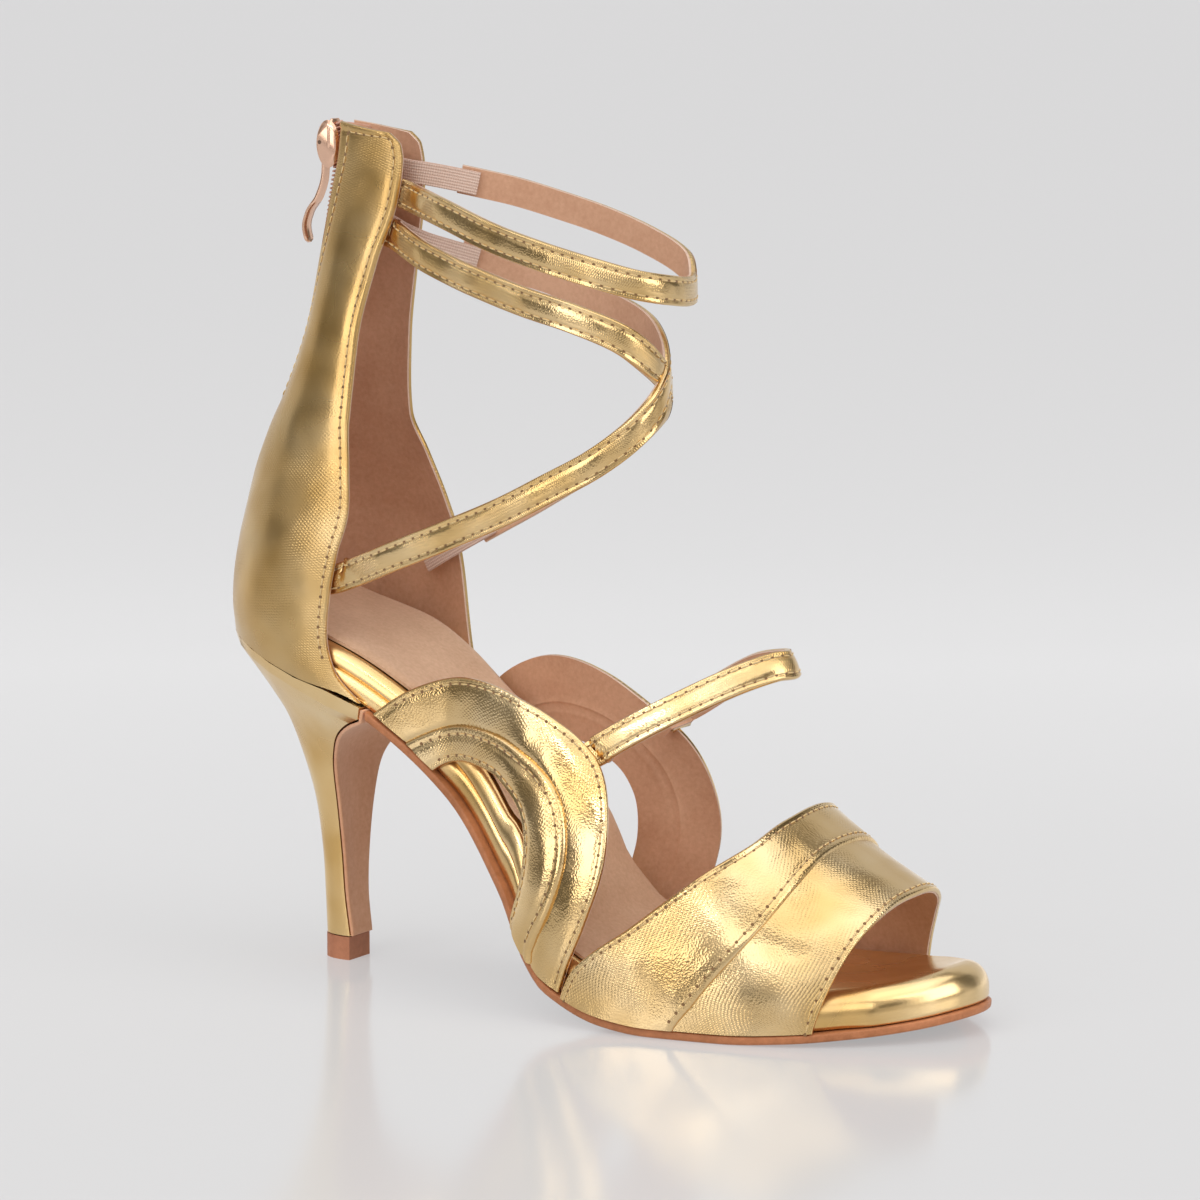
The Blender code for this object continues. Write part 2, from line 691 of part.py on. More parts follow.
def quarter_point(side, level, turn, inward=0.0):
    """Point of the lining side of the back wall, or further inside it."""
    start, end = quarter_edge(side, 0), quarter_edge(side, 1)
    here = quarter_edge(side, turn)
    forward = (here.x - start.x) / (end.x - start.x)
    name = "outer" if side == OUTER else "inner"
    back = read(QUARTER, "back", level) * SEAT_LENGTH - HEEL_SETBACK
    front = read(QUARTER, name + "_front", level) * SEAT_LENGTH - HEEL_SETBACK
    front_up = read(QUARTER, name + "_up", level)
    z = HEEL_HEIGHT + SHAFT_HEIGHT * (level + (front_up - level) * forward)
    y = side * read(QUARTER, "spread", level) * abs(here.y)
    flat_base = HEEL_HEIGHT + SHAFT_HEIGHT * getattr(QUARTER[0], name + "_up") * forward
    z += (sole_top(here.x) + GAP - flat_base) * (1 - level) ** 6
    point = Vector((back + (front - back) * forward, y, z))
    if inward:
        step = 0.02
        run = quarter_point(side, level, min(turn + step, 1)) - quarter_point(side, level, turn - step)
        rise = quarter_point(side, min(level + step, 1), turn) - quarter_point(side, level - step, turn)
        normal = run.cross(rise).normalized()
        point += normal * inward * (1 if normal.y * side < 0 else -1)
    return point


def turn_at_width(side, level, width):
    """Turn at which the back wall stands a given distance off the centre line."""
    low, high = 0.0, 1.0
    for _ in range(30):
        middle = (low + high) / 2
        if abs(quarter_point(side, level, middle).y) < width:
            low = middle
        else:
            high = middle
    return high


def half_slot(level):
    """Half the gap between the two back walls: a closed seam, then the zip's slot."""
    t = min(max((level - ZIP_BOTTOM + 0.03) / 0.04, 0.0), 1.0)
    return GAP / 2 + (ZIP_HALF_GAP - GAP / 2) * t * t * (3 - 2 * t)


QUARTER_LEVELS = [0.0, 0.03, 0.07, 0.12, 0.18, 0.24, 0.30, 0.36, ZIP_BOTTOM - 0.03, ZIP_BOTTOM,
                  0.54, 0.62, 0.70, 0.78, 0.86, 0.92, 0.96, 0.985, 1.0]


def make_quarter(side, name):
    grid = []
    columns = 9
    for level in QUARTER_LEVELS:
        start = turn_at_width(side, level, half_slot(level))
        grid.append([quarter_point(side, level, start + (1 - start) * (k / columns) ** 1.15)
                     for k in range(columns + 1)])
    return panel(name, grid, [WALL] * (columns + 1), "gold leather", side)


def make_zip_tape():
    """Tape inside the slot, with the coil as a rib along its middle."""
    grid = []
    levels = [TAPE_BOTTOM + (TAPE_TOP - TAPE_BOTTOM) * k / 14 for k in range(15)]
    for level in levels:
        row = []
        rib = turn_at_width(INNER, level, COIL_HALF_WIDTH)
        reach = min(turn_at_width(INNER, level, ZIP_HALF_GAP + TAPE_LAP), 0.62)
        half = [rib, rib + 0.02, (reach + rib) / 2, reach]
        for turn in [-turn for turn in reversed(half)] + half:
            side = OUTER if turn < 0 else INNER
            row.append(quarter_point(side, level, abs(turn), GAP + TAPE))
        grid.append(row)
    rise = TAPE + COIL
    return panel("zip_tape", grid, [TAPE, TAPE, TAPE, rise, rise, TAPE, TAPE, TAPE], "nude tape", 1)


def box(name, size, centre, material, bevel=0.0, guide=False):
    bm = bmesh.new()
    bmesh.ops.create_cube(bm, size=1.0)
    bmesh.ops.transform(bm, matrix=Matrix.Translation(centre) @ Matrix.Diagonal((*size, 1.0)), verts=bm.verts)
    if bevel:
        bmesh.ops.bevel(bm, geom=list(bm.edges), offset=bevel, segments=2, affect="EDGES", profile=0.5)
    return place(name, bm, material, guide)


def slider_frame():
    """Plate's rear face and the height of the slider's middle, at the back of the slot."""
    back = read(QUARTER, "back", SLIDER_UP) * SEAT_LENGTH - HEEL_SETBACK
    return back - GAP - COIL - SLIDER_PLATE, HEEL_HEIGHT + SHAFT_HEIGHT * SLIDER_UP


def pin_centre():
    rear, middle = slider_frame()
    return Vector((rear - PIN_REACH, 0, middle))


def make_zip_slider():
    rear, middle = slider_frame()
    size = (SLIDER_PLATE, SLIDER_WIDTH, SLIDER_HEIGHT)
    slider = box("zip_slider", size, (rear + SLIDER_PLATE / 2, 0, middle), "rose gold", 0.0005)
    pin = pin_centre()
    ear_reach = rear - pin.x + PIN_RADIUS * 2 + SLIDER_PLATE / 2
    ear_y = TAB_WIDTH / 2 + PIN_CLEARANCE + EAR / 2
    for side, word in ((OUTER, "outer"), (INNER, "inner")):
        centre = (rear + SLIDER_PLATE / 2 - ear_reach / 2, side * ear_y, middle)
        unite(slider, box("ear " + word, (ear_reach, EAR, EAR_HEIGHT), centre, "rose gold", 0.0002, True))
    bm = bmesh.new()
    across = Matrix.Translation(pin) @ Matrix.Rotation(pi / 2, 4, "X")
    bmesh.ops.create_cone(bm, cap_ends=True, segments=12, radius1=PIN_RADIUS, radius2=PIN_RADIUS,
                          depth=2 * ear_y, matrix=across)
    unite(slider, place("pin", bm, "rose gold", True))
    return slider


def make_zip_pull():
    """Pull tab: a bent strip whose eye turns on the slider's pin."""
    inner = PIN_RADIUS + PIN_CLEARANCE
    outer = inner + EYE
    knots = [bend.down for bend in TAB]

    def middle(down):
        return Vector((-cubic(knots, [bend.back for bend in TAB], down) * TAB_LENGTH, -down * TAB_LENGTH))

    left, right = [], []
    start = 0.85 * outer / TAB_LENGTH
    for k in range(13):
        down = start + (1 - start) * k / 12
        travel = (middle(down + 0.01) - middle(down - 0.01)).normalized()
        across = Vector((-travel.y, travel.x)) * TAB_THICKNESS / 2
        left.append(middle(down) - across)
        right.append(middle(down) + across)
    half_mouth = TAB_THICKNESS / 2 / outer
    ring = []
    for k in range(15):
        angle = -pi / 2 + half_mouth + (2 * pi - 2 * half_mouth) * k / 14
        ring.append(Vector((cos(angle), sin(angle))) * outer)
    outline = ring + left + right[::-1] if left[0].x < right[0].x else ring + right + left[::-1]
    hole = [Vector((cos(2 * pi * k / 16), sin(2 * pi * k / 16))) * inner for k in range(16)]
    curve = bpy.data.curves.new("pull outline", "CURVE")
    curve.dimensions = "2D"
    curve.fill_mode = "BOTH"
    curve.extrude = TAB_WIDTH / 2
    for points in (outline, hole):
        spline = curve.splines.new("POLY")
        spline.points.add(len(points) - 1)
        for target, point in zip(spline.points, points):
            target.co = (point.x, point.y, 0, 1)
        spline.use_cyclic_u = True
    drawn = bpy.data.objects.new("pull outline", curve)
    guides.objects.link(drawn)
    bpy.context.view_layer.update()
    mesh = bpy.data.meshes.new_from_object(drawn.evaluated_get(bpy.context.evaluated_depsgraph_get()))
    bpy.data.objects.remove(drawn)
    bm = bmesh.new()
    bm.from_mesh(mesh)
    bmesh.ops.remove_doubles(bm, verts=bm.verts, dist=0.00001)
    bmesh.ops.transform(bm, matrix=Matrix.Rotation(pi / 2, 4, "X"), verts=bm.verts)
    pull = place("zip_pull", bm, "rose gold")
    pull.location = pin_centre()
    return pull


def band_grid(side, rows):
    """Lining side of a side band, with a pair of columns where its raised band starts."""
    grid = []
    last = len(SIDE_BAND) - 1
    stations = list(range(last + 1))
    for k in range(rows + 1):
        at = last * k / rows
        edge_along, edge_up, cut_along, cut_up, seam = [
            cubic(stations, [getattr(row, column) for row in SIDE_BAND], at, False)
            for column in Band._fields]
        row = []
        for share in (0.0, seam * 0.5, seam, seam + STEP_RUN, (1 + seam) / 2, 1.0):
            along = edge_along + (cut_along - edge_along) * share
            up = edge_up + (cut_up - edge_up) * share
            x = sole_x(band_along(side, along))
            foot = sole_top(x) + FOOT_GAP
            z = foot if k in (0, rows) else max(up * HEEL_HEIGHT, foot)
            row.append(last_edge(side, x, z))
        grid.append(row)
    return grid


def make_side_band(side, name):
    heights = [WALL, WALL, WALL, WALL + RAISED, WALL + RAISED, WALL + RAISED]
    return panel(name, band_grid(side, 26), heights, "gold leather", side)


def arch_point(around, along):
    """Lining side of the toe piece: a round arch over the sole, its crest towards the big toe."""
    x = sole_x(along)
    outer = half_width(OUTER, along) - WALL
    inner = half_width(INNER, along) - WALL
    crest_y = (inner - outer) / 2 + 0.1 * (inner + outer)
    reach = outer + crest_y if around < 0.5 else inner - crest_y
    angle = pi * around
    power = 2 / ROUNDNESS
    across = abs(cos(angle)) ** power * (-1 if around < 0.5 else 1)
    height = read(CREST, "height", along) * INSTEP_HEIGHT
    return Vector((x, crest_y + reach * across, sole_top(x) + height * sin(angle) ** power))


def make_vamp():
    grid = []
    rows = 26
    for k in range(rows + 1):
        around = k / rows - 0.08 * sin(2 * pi * k / rows)
        rear, seam, front = [read(VAMP, column, around, False) for column in ("rear", "seam", "front")]
        places = [rear, (2 * rear + seam) / 3, (rear + 2 * seam) / 3, seam - STEP_RUN / 4, seam,
                  (3 * seam + front) / 4, (seam + front) / 2, (seam + 3 * front) / 4, front]
        grid.append([arch_point(around, along) for along in places])
    heights = [WALL + RAISED] * 4 + [WALL] * 5
    return panel("vamp", grid, heights, "gold leather", -1)


def strap_places(table, start_x, reach, half, base, rise, count):
    """Centre points of a strap evenly along its line, with the lean at each."""
    points = [Vector((start_x + row.forward * reach, row.side * half, base + row.up * rise))
              for row in table]
    knots = [0.0]
    for before, after in zip(points, points[1:]):
        knots.append(knots[-1] + (after - before).length)
    path = []
    for k in range(count + 1):
        at = knots[-1] * k / count
        point = Vector([cubic(knots, [p[axis] for p in points], at, False) for axis in range(3)])
        path.append((point, radians(cubic(knots, [row.lean for row in table], at, False))))
    return path


def tuck_in_quarter(side, point, depth):
    """Keeps a strap's point inside one back wall where the two lap."""
    if point.y * side < 0:
        return point
    name = "outer" if side == OUTER else "inner"
    height = (point.z - HEEL_HEIGHT) / SHAFT_HEIGHT
    level, forward = height, 1.0
    for _ in range(12):
        back = read(QUARTER, "back", level) * SEAT_LENGTH - HEEL_SETBACK
        front = read(QUARTER, name + "_front", level) * SEAT_LENGTH - HEEL_SETBACK
        forward = (point.x - back) / (front - back)
        level = height - (read(QUARTER, name + "_up", level) - level) * min(forward, 1.0)
    turn = acos(1 - min(max(forward, 0.0), 1.0)) * 2 / pi
    limit = abs(quarter_point(side, level, turn).y) - depth
    limit += max(forward - 1.0 - STRAP_CLEARANCE, 0.0) * STRAP_SPREAD
    return Vector((point.x, side * min(abs(point.y), limit), point.z))


def band_along(side, along):
    """Place along a side band: the inner one is shifted and shorter."""
    start = SIDE_BAND[0].edge_along
    return along if side == OUTER else start + INNER_BAND_SHIFT + (along - start) * INNER_BAND_SCALE


def tuck_in_side_band(either, point, depth):
    """Keeps the instep strap's point inside the side band on either side where the two lap."""
    side = OUTER if point.y < 0 else INNER
    falling = [row for row in SIDE_BAND if row.edge_along > 0.4 and row.edge_up > 0.5][::-1]
    knots = [row.edge_up for row in falling]
    edge_along = cubic(knots, [row.edge_along for row in falling], point.z / HEEL_HEIGHT)
    past = point.x - sole_x(band_along(side, edge_along)) - 0.0025
    limit = abs(last_edge(side, point.x, point.z).y) - depth - LAP_GAP
    limit += max(past, 0.0) * 3.0
    return Vector((point.x, side * min(abs(point.y), limit), point.z))


def ribbon(name, path, width, thickness, material, tuck, side, inward=0.0, guide=False):
    """Flat strap on its centre line; its top edge leans in, and inward moves it off the line."""
    grid = []
    last = len(path) - 1
    for i, (point, lean) in enumerate(path):
        travel = (path[min(i + 1, last)][0] - path[max(i - 1, 0)][0]).normalized()
        outward = travel.cross(Vector((0, 0, 1))).normalized()
        up = outward.cross(travel).normalized()
        across = up * cos(lean) - outward * sin(lean)
        facing = travel.cross(across).normalized()
        centre = point - facing * inward
        grid.append([tuck(side, centre + across * width * share, thickness + LAP_GAP)
                     for share in (-0.5, -0.40, 0.0, 0.40, 0.5)])
    heights = [thickness * 0.6, thickness, thickness, thickness, thickness * 0.6]
    return panel(name, grid, heights, material, 1, guide)


def ankle_places(table, reach, count):
    front = read(QUARTER, "outer_front", 0.9) * SEAT_LENGTH - HEEL_SETBACK - STRAP_BACK
    return strap_places(table, front, reach, ANKLE_HALF_WIDTH, HEEL_HEIGHT, SHAFT_HEIGHT, count)


def leather_end(steps, share):
    """Step of a strap's path where its leather stops and the elastic takes over."""
    return min(round(steps * share), steps - ELASTIC_STEPS)


def make_elastic(name, path, start):
    """Elastic inside the strap's end, from the step where the leather stops to the wall."""
    ribbon(name, path[start - ELASTIC_STEPS:], ELASTIC_WIDTH, ELASTIC, "nude elastic",
           tuck_in_quarter, INNER, GAP + ELASTIC)


def make_ankle_strap():
    path = ankle_places(ANKLE_STRAP, ANKLE_REACH, ANKLE_STEPS)
    end = leather_end(ANKLE_STEPS, ANKLE_LEATHER)
    ribbon("ankle_strap", path[:end + 1], STRAP_WIDTH, STRAP, "gold leather", tuck_in_quarter, OUTER)
    make_elastic("elastic_ankle", path, end)


def make_cross_straps():
    """Two straps that cross in front of the ankle, joined where they cross."""
    falling = ankle_places(FALLING_STRAP, CROSS_REACH, CROSS_STEPS)
    rising = ankle_places(RISING_STRAP, CROSS_REACH, CROSS_STEPS)
    end = leather_end(CROSS_STEPS, FALLING_LEATHER)
    straps = ribbon("cross_straps", falling[:end + 1], STRAP_WIDTH, STRAP, "gold leather",
                    tuck_in_quarter, OUTER)
    make_elastic("elastic_cross_low", falling, end)
    end = leather_end(CROSS_STEPS, RISING_LEATHER)
    over = ribbon("rising strap", rising[:end + 1], STRAP_WIDTH, STRAP, "gold leather",
                  tuck_in_quarter, OUTER, -CROSS_STEP, True)
    unite(straps, over)
    make_elastic("elastic_cross_high", rising, end)


def make_instep_strap():
    start = sole_x(max(row.edge_along for row in SIDE_BAND)) - INSTEP_BACK
    path = strap_places(INSTEP_STRAP, start, INSTEP_REACH, INSTEP_HALF_WIDTH, 0.0, HEEL_HEIGHT,
                        INSTEP_STEPS)
    ribbon("instep_strap", path, STRAP_WIDTH, STRAP, "gold leather", tuck_in_side_band, OUTER)


def clear_scene():
    for item in list(bpy.data.objects):
        bpy.data.objects.remove(item, do_unlink=True)


clear_scene()
shoe = bpy.data.collections.new("Ballroom dance sandal")
guides = bpy.data.collections.new("Guides")
for group in (shoe, guides):
    bpy.context.scene.collection.children.link(group)

make_outsole()
make_insole()
make_sock_lining()
make_heel()
make_breast_cover()
make_top_lift()
make_quarter(OUTER, "quarter_outer")
make_quarter(INNER, "quarter_inner")
make_zip_tape()
make_zip_slider()
make_zip_pull()
make_side_band(OUTER, "side_loop_outer")
make_side_band(INNER, "side_loop_inner")
make_vamp()
make_instep_strap()
make_ankle_strap()
make_cross_straps()
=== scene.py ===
# %% [markdown]
# # A ballroom dance sandal, right foot
# The shoe is gold foil leather over a slender high heel. The back is tall and zipped, two pairs
# of narrow straps cross in front of the ankle, a looped band stands on each side of the arch,
# and a broad toe piece leaves the toes open. The frame gives the solids. This lesson
# dresses them: every leather piece is rebuilt as a fine sheet on the same curves, with folded
# edges, stitches and its own finish.

# %% Load the frame
from collections import namedtuple
from math import acos, cos, pi, radians, sin

import bmesh
import bpy
import numpy as np
from mathutils import Matrix, Vector, noise


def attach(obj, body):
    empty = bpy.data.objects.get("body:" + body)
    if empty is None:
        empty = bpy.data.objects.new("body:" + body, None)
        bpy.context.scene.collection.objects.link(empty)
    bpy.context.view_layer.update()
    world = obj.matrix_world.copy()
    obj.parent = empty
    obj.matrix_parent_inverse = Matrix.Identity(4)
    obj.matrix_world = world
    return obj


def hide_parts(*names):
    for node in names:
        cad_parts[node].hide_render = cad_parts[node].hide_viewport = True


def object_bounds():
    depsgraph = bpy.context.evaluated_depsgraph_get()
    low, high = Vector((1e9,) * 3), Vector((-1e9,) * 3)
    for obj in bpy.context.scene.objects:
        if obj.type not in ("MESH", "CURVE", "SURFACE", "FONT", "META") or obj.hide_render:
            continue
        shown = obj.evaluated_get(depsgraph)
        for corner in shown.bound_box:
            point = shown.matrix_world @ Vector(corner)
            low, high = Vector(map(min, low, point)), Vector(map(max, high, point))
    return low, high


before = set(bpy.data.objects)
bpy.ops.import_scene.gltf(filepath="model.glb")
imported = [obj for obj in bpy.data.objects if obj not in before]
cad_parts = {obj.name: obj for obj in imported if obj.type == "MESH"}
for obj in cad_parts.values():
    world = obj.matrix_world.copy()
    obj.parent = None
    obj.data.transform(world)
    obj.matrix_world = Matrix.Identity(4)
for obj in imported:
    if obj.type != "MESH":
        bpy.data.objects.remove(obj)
cad_box = [list(corner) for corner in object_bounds()]
print("solids:", len(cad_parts), "box:", [[round(v, 4) for v in corner] for corner in cad_box])

# %% [markdown]
# ## The camera
# The photograph is taken from in front of the outer side, a little above, with a long lens, so
# the near and the far straps keep almost the same size. Its place was settled by matching the
# sole, the heel tip and the top edge, and the lens follows from the frame's width. A camera
# looks along its own -Z axis, so its rotation is built from the three directions that it needs.

# %% Place the camera
CAMERA_TURN = radians(34.0)
CAMERA_DISTANCE = 1.520
CAMERA_HEIGHT = 0.334
AIM_TURN = radians(31.509)
AIM_DOWN = radians(9.007)
LENS = 179.4    # millimetres, on film as wide as FILM
FILM = 36.0

camera_data = bpy.data.cameras.new("camera")
camera_data.lens = LENS
camera_data.sensor_width = FILM
camera = bpy.data.objects.new("camera", camera_data)
bpy.context.scene.collection.objects.link(camera)
ahead = Vector((-sin(AIM_TURN) * cos(AIM_DOWN), cos(AIM_TURN) * cos(AIM_DOWN), -sin(AIM_DOWN)))
right = Vector((cos(AIM_TURN), sin(AIM_TURN), 0.0))
above = right.cross(ahead)
camera.matrix_world = Matrix.Translation((
    sin(CAMERA_TURN) * CAMERA_DISTANCE, -cos(CAMERA_TURN) * CAMERA_DISTANCE, CAMERA_HEIGHT,
)) @ Matrix((right, above, -ahead)).transposed().to_4x4()
bpy.context.scene.camera = camera
print("camera at", [round(v, 3) for v in camera.location])

# %% [markdown]
# ## A helper for materials
# Every finish here is a small node tree, in which a few textures feed one shader. The first lines
# are the same for each, so a function takes them: it starts a material with its colour, its
# roughness and its metal, and gives back a function that adds a node with settings and links.

# %% Start a material
def new_material(name, colour, roughness, metallic=0.0):
    """A material and a function that adds nodes to it with settings and links."""
    material = bpy.data.materials.new(name)
    material.use_nodes = True
    tree = material.node_tree
    shader = tree.nodes["Principled BSDF"]
    shader.inputs["Base Color"].default_value = (*colour, 1)
    shader.inputs["Roughness"].default_value = roughness
    shader.inputs["Metallic"].default_value = metallic

    def add(kind, wires=None, **settings):
        made = tree.nodes.new(kind)
        for key, value in settings.items():
            if key in made.inputs:
                made.inputs[key].default_value = value
            else:
                setattr(made, key, value)
        for key, source in (wires or {}).items():
            tree.links.new(source, made.inputs[key])
        return made

    return material, shader, add, tree.links.new

# %% [markdown]
# ## The studio
# The photograph has a pale grey sweep and broad soft lights. Gold foil shows mostly what it
# reflects, so the studio matters as much as the gold: bright panels give the cream highlights,
# and the darker room between them, with soft blotches like hung cloths, gives the olive and
# brown shades. The sweep is one glossy sheet that curves up behind the shoe. It glows a little,
# which stands for the lamps that light it evenly. Each panel is an area light.

# %% Build the sweep and the lights
SWEEP_BEND = 0.45    # where the floor starts to bend up, behind the shoe
SWEEP_DEPTH = 2.4    # how far back the bend goes
SWEEP_RISE = 1.9     # and how high


def bridge(bm, rows, closed=True):
    """Faces between each two neighbouring rows of points, right round where the rows are rings."""
    for low, high in zip(rows, rows[1:]):
        for k in range(len(low) if closed else len(low) - 1):
            m = (k + 1) % len(low)
            bm.faces.new((low[k], low[m], high[m], high[k]))


def sweep_sheet():
    profile = [(-3.0, 0.0), (SWEEP_BEND, 0.0)]
    profile += [(SWEEP_BEND + SWEEP_DEPTH * sin(t), SWEEP_RISE - SWEEP_RISE * cos(t))
                for t in np.linspace(0.04, pi / 2, 40)]
    profile += [(SWEEP_BEND + SWEEP_DEPTH, 4.0)]
    bm = bmesh.new()
    bridge(bm, [[bm.verts.new((x, y, z)) for x in (-4.0, 4.0)] for y, z in profile], closed=False)
    mesh = bpy.data.meshes.new("sweep")
    bm.to_mesh(mesh)
    bm.free()
    mesh.shade_smooth()
    return bpy.data.objects.new("sweep", mesh)


sweep = sweep_sheet()
sweep.rotation_euler = (0, 0, AIM_TURN)
bpy.context.scene.collection.objects.link(sweep)
paper, paper_shader, add, link = new_material("pale sweep", (0.30, 0.30, 0.305), 0.14)
paper_shader.inputs["Specular IOR Level"].default_value = 0.16
paper_shader.inputs["Emission Color"].default_value = (0.72, 0.72, 0.73, 1)
place = add("ShaderNodeSeparateXYZ", {"Vector": add("ShaderNodeTexCoord").outputs["Object"]})
glow = add("ShaderNodeMapRange", {"Value": place.outputs["Y"]},
           **{"From Min": 0.5, "From Max": 1.6, "To Min": 0.49, "To Max": 0.65})
link(glow.outputs["Result"], paper_shader.inputs["Emission Strength"])
sweep.data.materials.append(paper)

LIGHTS = {
    # name: place, size, watts, colour
    "roof panel": ((0.20, -0.30, 1.60), (2.4, 2.0), 18.0, (1.0, 0.99, 0.97)),
    "front panel": ((1.05, -2.00, 1.30), (1.6, 1.1), 8.0, (1.0, 0.98, 0.95)),
    "left front panel": ((-0.42, -1.60, 0.50), (0.80, 0.75), 4.2, (1.0, 0.98, 0.95)),
    "toe panel": ((1.80, 0.00, 0.85), (1.1, 1.4), 11.0, (1.0, 0.98, 0.96)),
    "streak panel": ((-0.20, -1.30, 1.10), (0.9, 0.12), 2.6, (1.0, 1.0, 1.0)),
}
TARGET = Vector((0.07, 0.0, 0.09))
for name, (at, size, watts, colour) in LIGHTS.items():
    panel_light = bpy.data.lights.new(name, "AREA")
    panel_light.shape = "RECTANGLE"
    panel_light.size, panel_light.size_y = size
    panel_light.energy = watts
    panel_light.color = colour
    lamp = bpy.data.objects.new(name, panel_light)
    lamp.location = at
    lamp.rotation_euler = (TARGET - Vector(at)).to_track_quat("-Z", "Y").to_euler()
    bpy.context.scene.collection.objects.link(lamp)

world = bpy.data.worlds.new("room")
world.use_nodes = True
room = world.node_tree
direction = room.nodes.new("ShaderNodeTexCoord").outputs["Generated"]
flags = room.nodes.new("ShaderNodeTexNoise")
flags.inputs["Scale"].default_value = 2.6
flags.inputs["Detail"].default_value = 1.0
shades = room.nodes.new("ShaderNodeValToRGB")
shades.color_ramp.elements[0].position = 0.42
shades.color_ramp.elements[0].color = (0.16, 0.15, 0.13, 1)
shades.color_ramp.elements[1].position = 0.60
shades.color_ramp.elements[1].color = (0.72, 0.70, 0.67, 1)
room.links.new(direction, flags.inputs["Vector"])
room.links.new(flags.outputs["Fac"], shades.inputs["Fac"])
room.links.new(shades.outputs["Color"], room.nodes["Background"].inputs["Color"])
room.nodes["Background"].inputs["Strength"].default_value = 0.75
bpy.context.scene.world = world
bpy.context.scene.view_settings.view_transform = "Standard"
print("studio lights:", list(LIGHTS))

# %% [markdown]
# ## The shoe's driving sizes
# These are the sizes and tables that the solids were built from, in metres and as shares of
# named sizes. The looks use the same ones, so every sheet lies where its solid lies.

# %% Sizes of the last, the sole and the leather
LENGTH = 0.213          # along the floor, back of the seat to the toe
BALL_WIDTH = 0.0784     # across the ball of the foot
HEEL_HEIGHT = 0.0854    # floor to the top of the heel, at the back
HEEL_SETBACK = 0.030    # back of the seat to the centre of the heel tip
INSTEP_HEIGHT = 0.070   # last above the sole where the side bands come down
SEAT_LENGTH = 0.0523    # back of the seat to the heel's front face
SHAFT_HEIGHT = 0.1316   # top of the heel to the top of the back
ROUNDNESS = 2.3         # exponent of the last's cross section, 2 is an ellipse
OUTER = -1              # sides of the foot, as signs of y
INNER = 1

GAP = 0.0003            # between neighbours that a maker would glue or sew
OUTSOLE = 0.0022        # thickness of each layer of the sole, from below
INSOLE_LOWER = 0.0044
INSOLE_UPPER = 0.0046
SOCK = 0.0010
SOCK_INSET = 0.0034
SOCK_END = 0.745        # share of the sole's length
TOE_BLEND_START = 0.62  # share of the sole's length from which the groove closes
TOE_BLEND = 0.16
TOE_SOFTNESS = 0.0030   # how much further in the roll starts at the toe
TOE_INSET = 0.0007      # footbed's edge inside the outsole's, in front of the toe piece
TOE_BARE = 0.895        # share of the sole's length from which the inset narrows
TOE_BARE_BLEND = 0.035
BREAST_COVER = 0.0010   # brown flap on the heel's front
SEAT_POINTS = 8         # corners of a heel section: round each side, and across the front
BREAST_POINTS = 4

WALL = 0.0016           # leather and lining of the upper
RAISED = 0.0008         # step where a band laps over its neighbour
STRAP_WIDTH = 0.0074
STRAP = 0.0020
ELASTIC_WIDTH = 0.0060
ELASTIC = 0.0010
LAP_GAP = 0.0007        # a strap's outer face to the wall that it is sewn inside
STRAP_CLEARANCE = 0.06  # share of the wall's depth past its edge before a strap may spread
STRAP_SPREAD = 0.05

ZIP_BOTTOM = 0.46       # shares of the shaft's height
TAPE_BOTTOM = 0.475
TAPE_TOP = 0.995
ZIP_HALF_GAP = 0.0022
TAPE = 0.0008
TAPE_LAP = 0.0017       # tape under each back wall
COIL = 0.0016
SLIDER_UP = 0.955       # slider's middle, share of the shaft's height
SLIDER_HEIGHT = 0.0120
SLIDER_WIDTH = 0.0062
SLIDER_PLATE = 0.0014
EAR = 0.0009            # thickness of the two ears that hold the pin
PIN_REACH = 0.0019      # plate's rear face to the centre of the pin
PIN_RADIUS = 0.0006
PIN_CLEARANCE = 0.0003
EYE = 0.0008            # ring of the tab's eye
TAB_WIDTH = 0.0034
TAB_THICKNESS = 0.0010
TAB_LENGTH = 0.0260

# %% Tables of the shoe's shape
# Sole, a row for each section: shares of LENGTH, BALL_WIDTH and HEEL_HEIGHT
Sole = namedtuple("Sole", "along outer inner rise")
SOLE = [
    Sole(0.000, 0.000, 0.000, 1.000),
    Sole(0.020, 0.144, 0.146, 0.996),
    Sole(0.060, 0.243, 0.250, 0.973),
    Sole(0.120, 0.313, 0.322, 0.927),
    Sole(0.200, 0.344, 0.350, 0.862),
    Sole(0.280, 0.328, 0.318, 0.750),
    Sole(0.360, 0.320, 0.262, 0.595),
    Sole(0.450, 0.386, 0.238, 0.340),
    Sole(0.500, 0.458, 0.252, 0.166),
    Sole(0.540, 0.502, 0.278, 0.086),
    Sole(0.620, 0.522, 0.362, 0.016),
    Sole(0.680, 0.508, 0.426, 0.000),
    Sole(0.770, 0.470, 0.472, 0.000),
    Sole(0.840, 0.406, 0.458, 0.008),
    Sole(0.910, 0.290, 0.396, 0.024),
    Sole(0.965, 0.142, 0.296, 0.042),
    Sole(1.000, -0.086, 0.086, 0.060),
]

# Crest of the last above the sole: shares of LENGTH and INSTEP_HEIGHT
Crest = namedtuple("Crest", "along height")
CREST = [
    Crest(0.18, 1.30),
    Crest(0.40, 1.24),
    Crest(0.54, 1.08),
    Crest(0.61, 1.00),
    Crest(0.66, 0.90),
    Crest(0.73, 0.772),
    Crest(0.79, 0.632),
    Crest(0.86, 0.490),
    Crest(0.925, 0.376),
    Crest(1.00, 0.28),
]

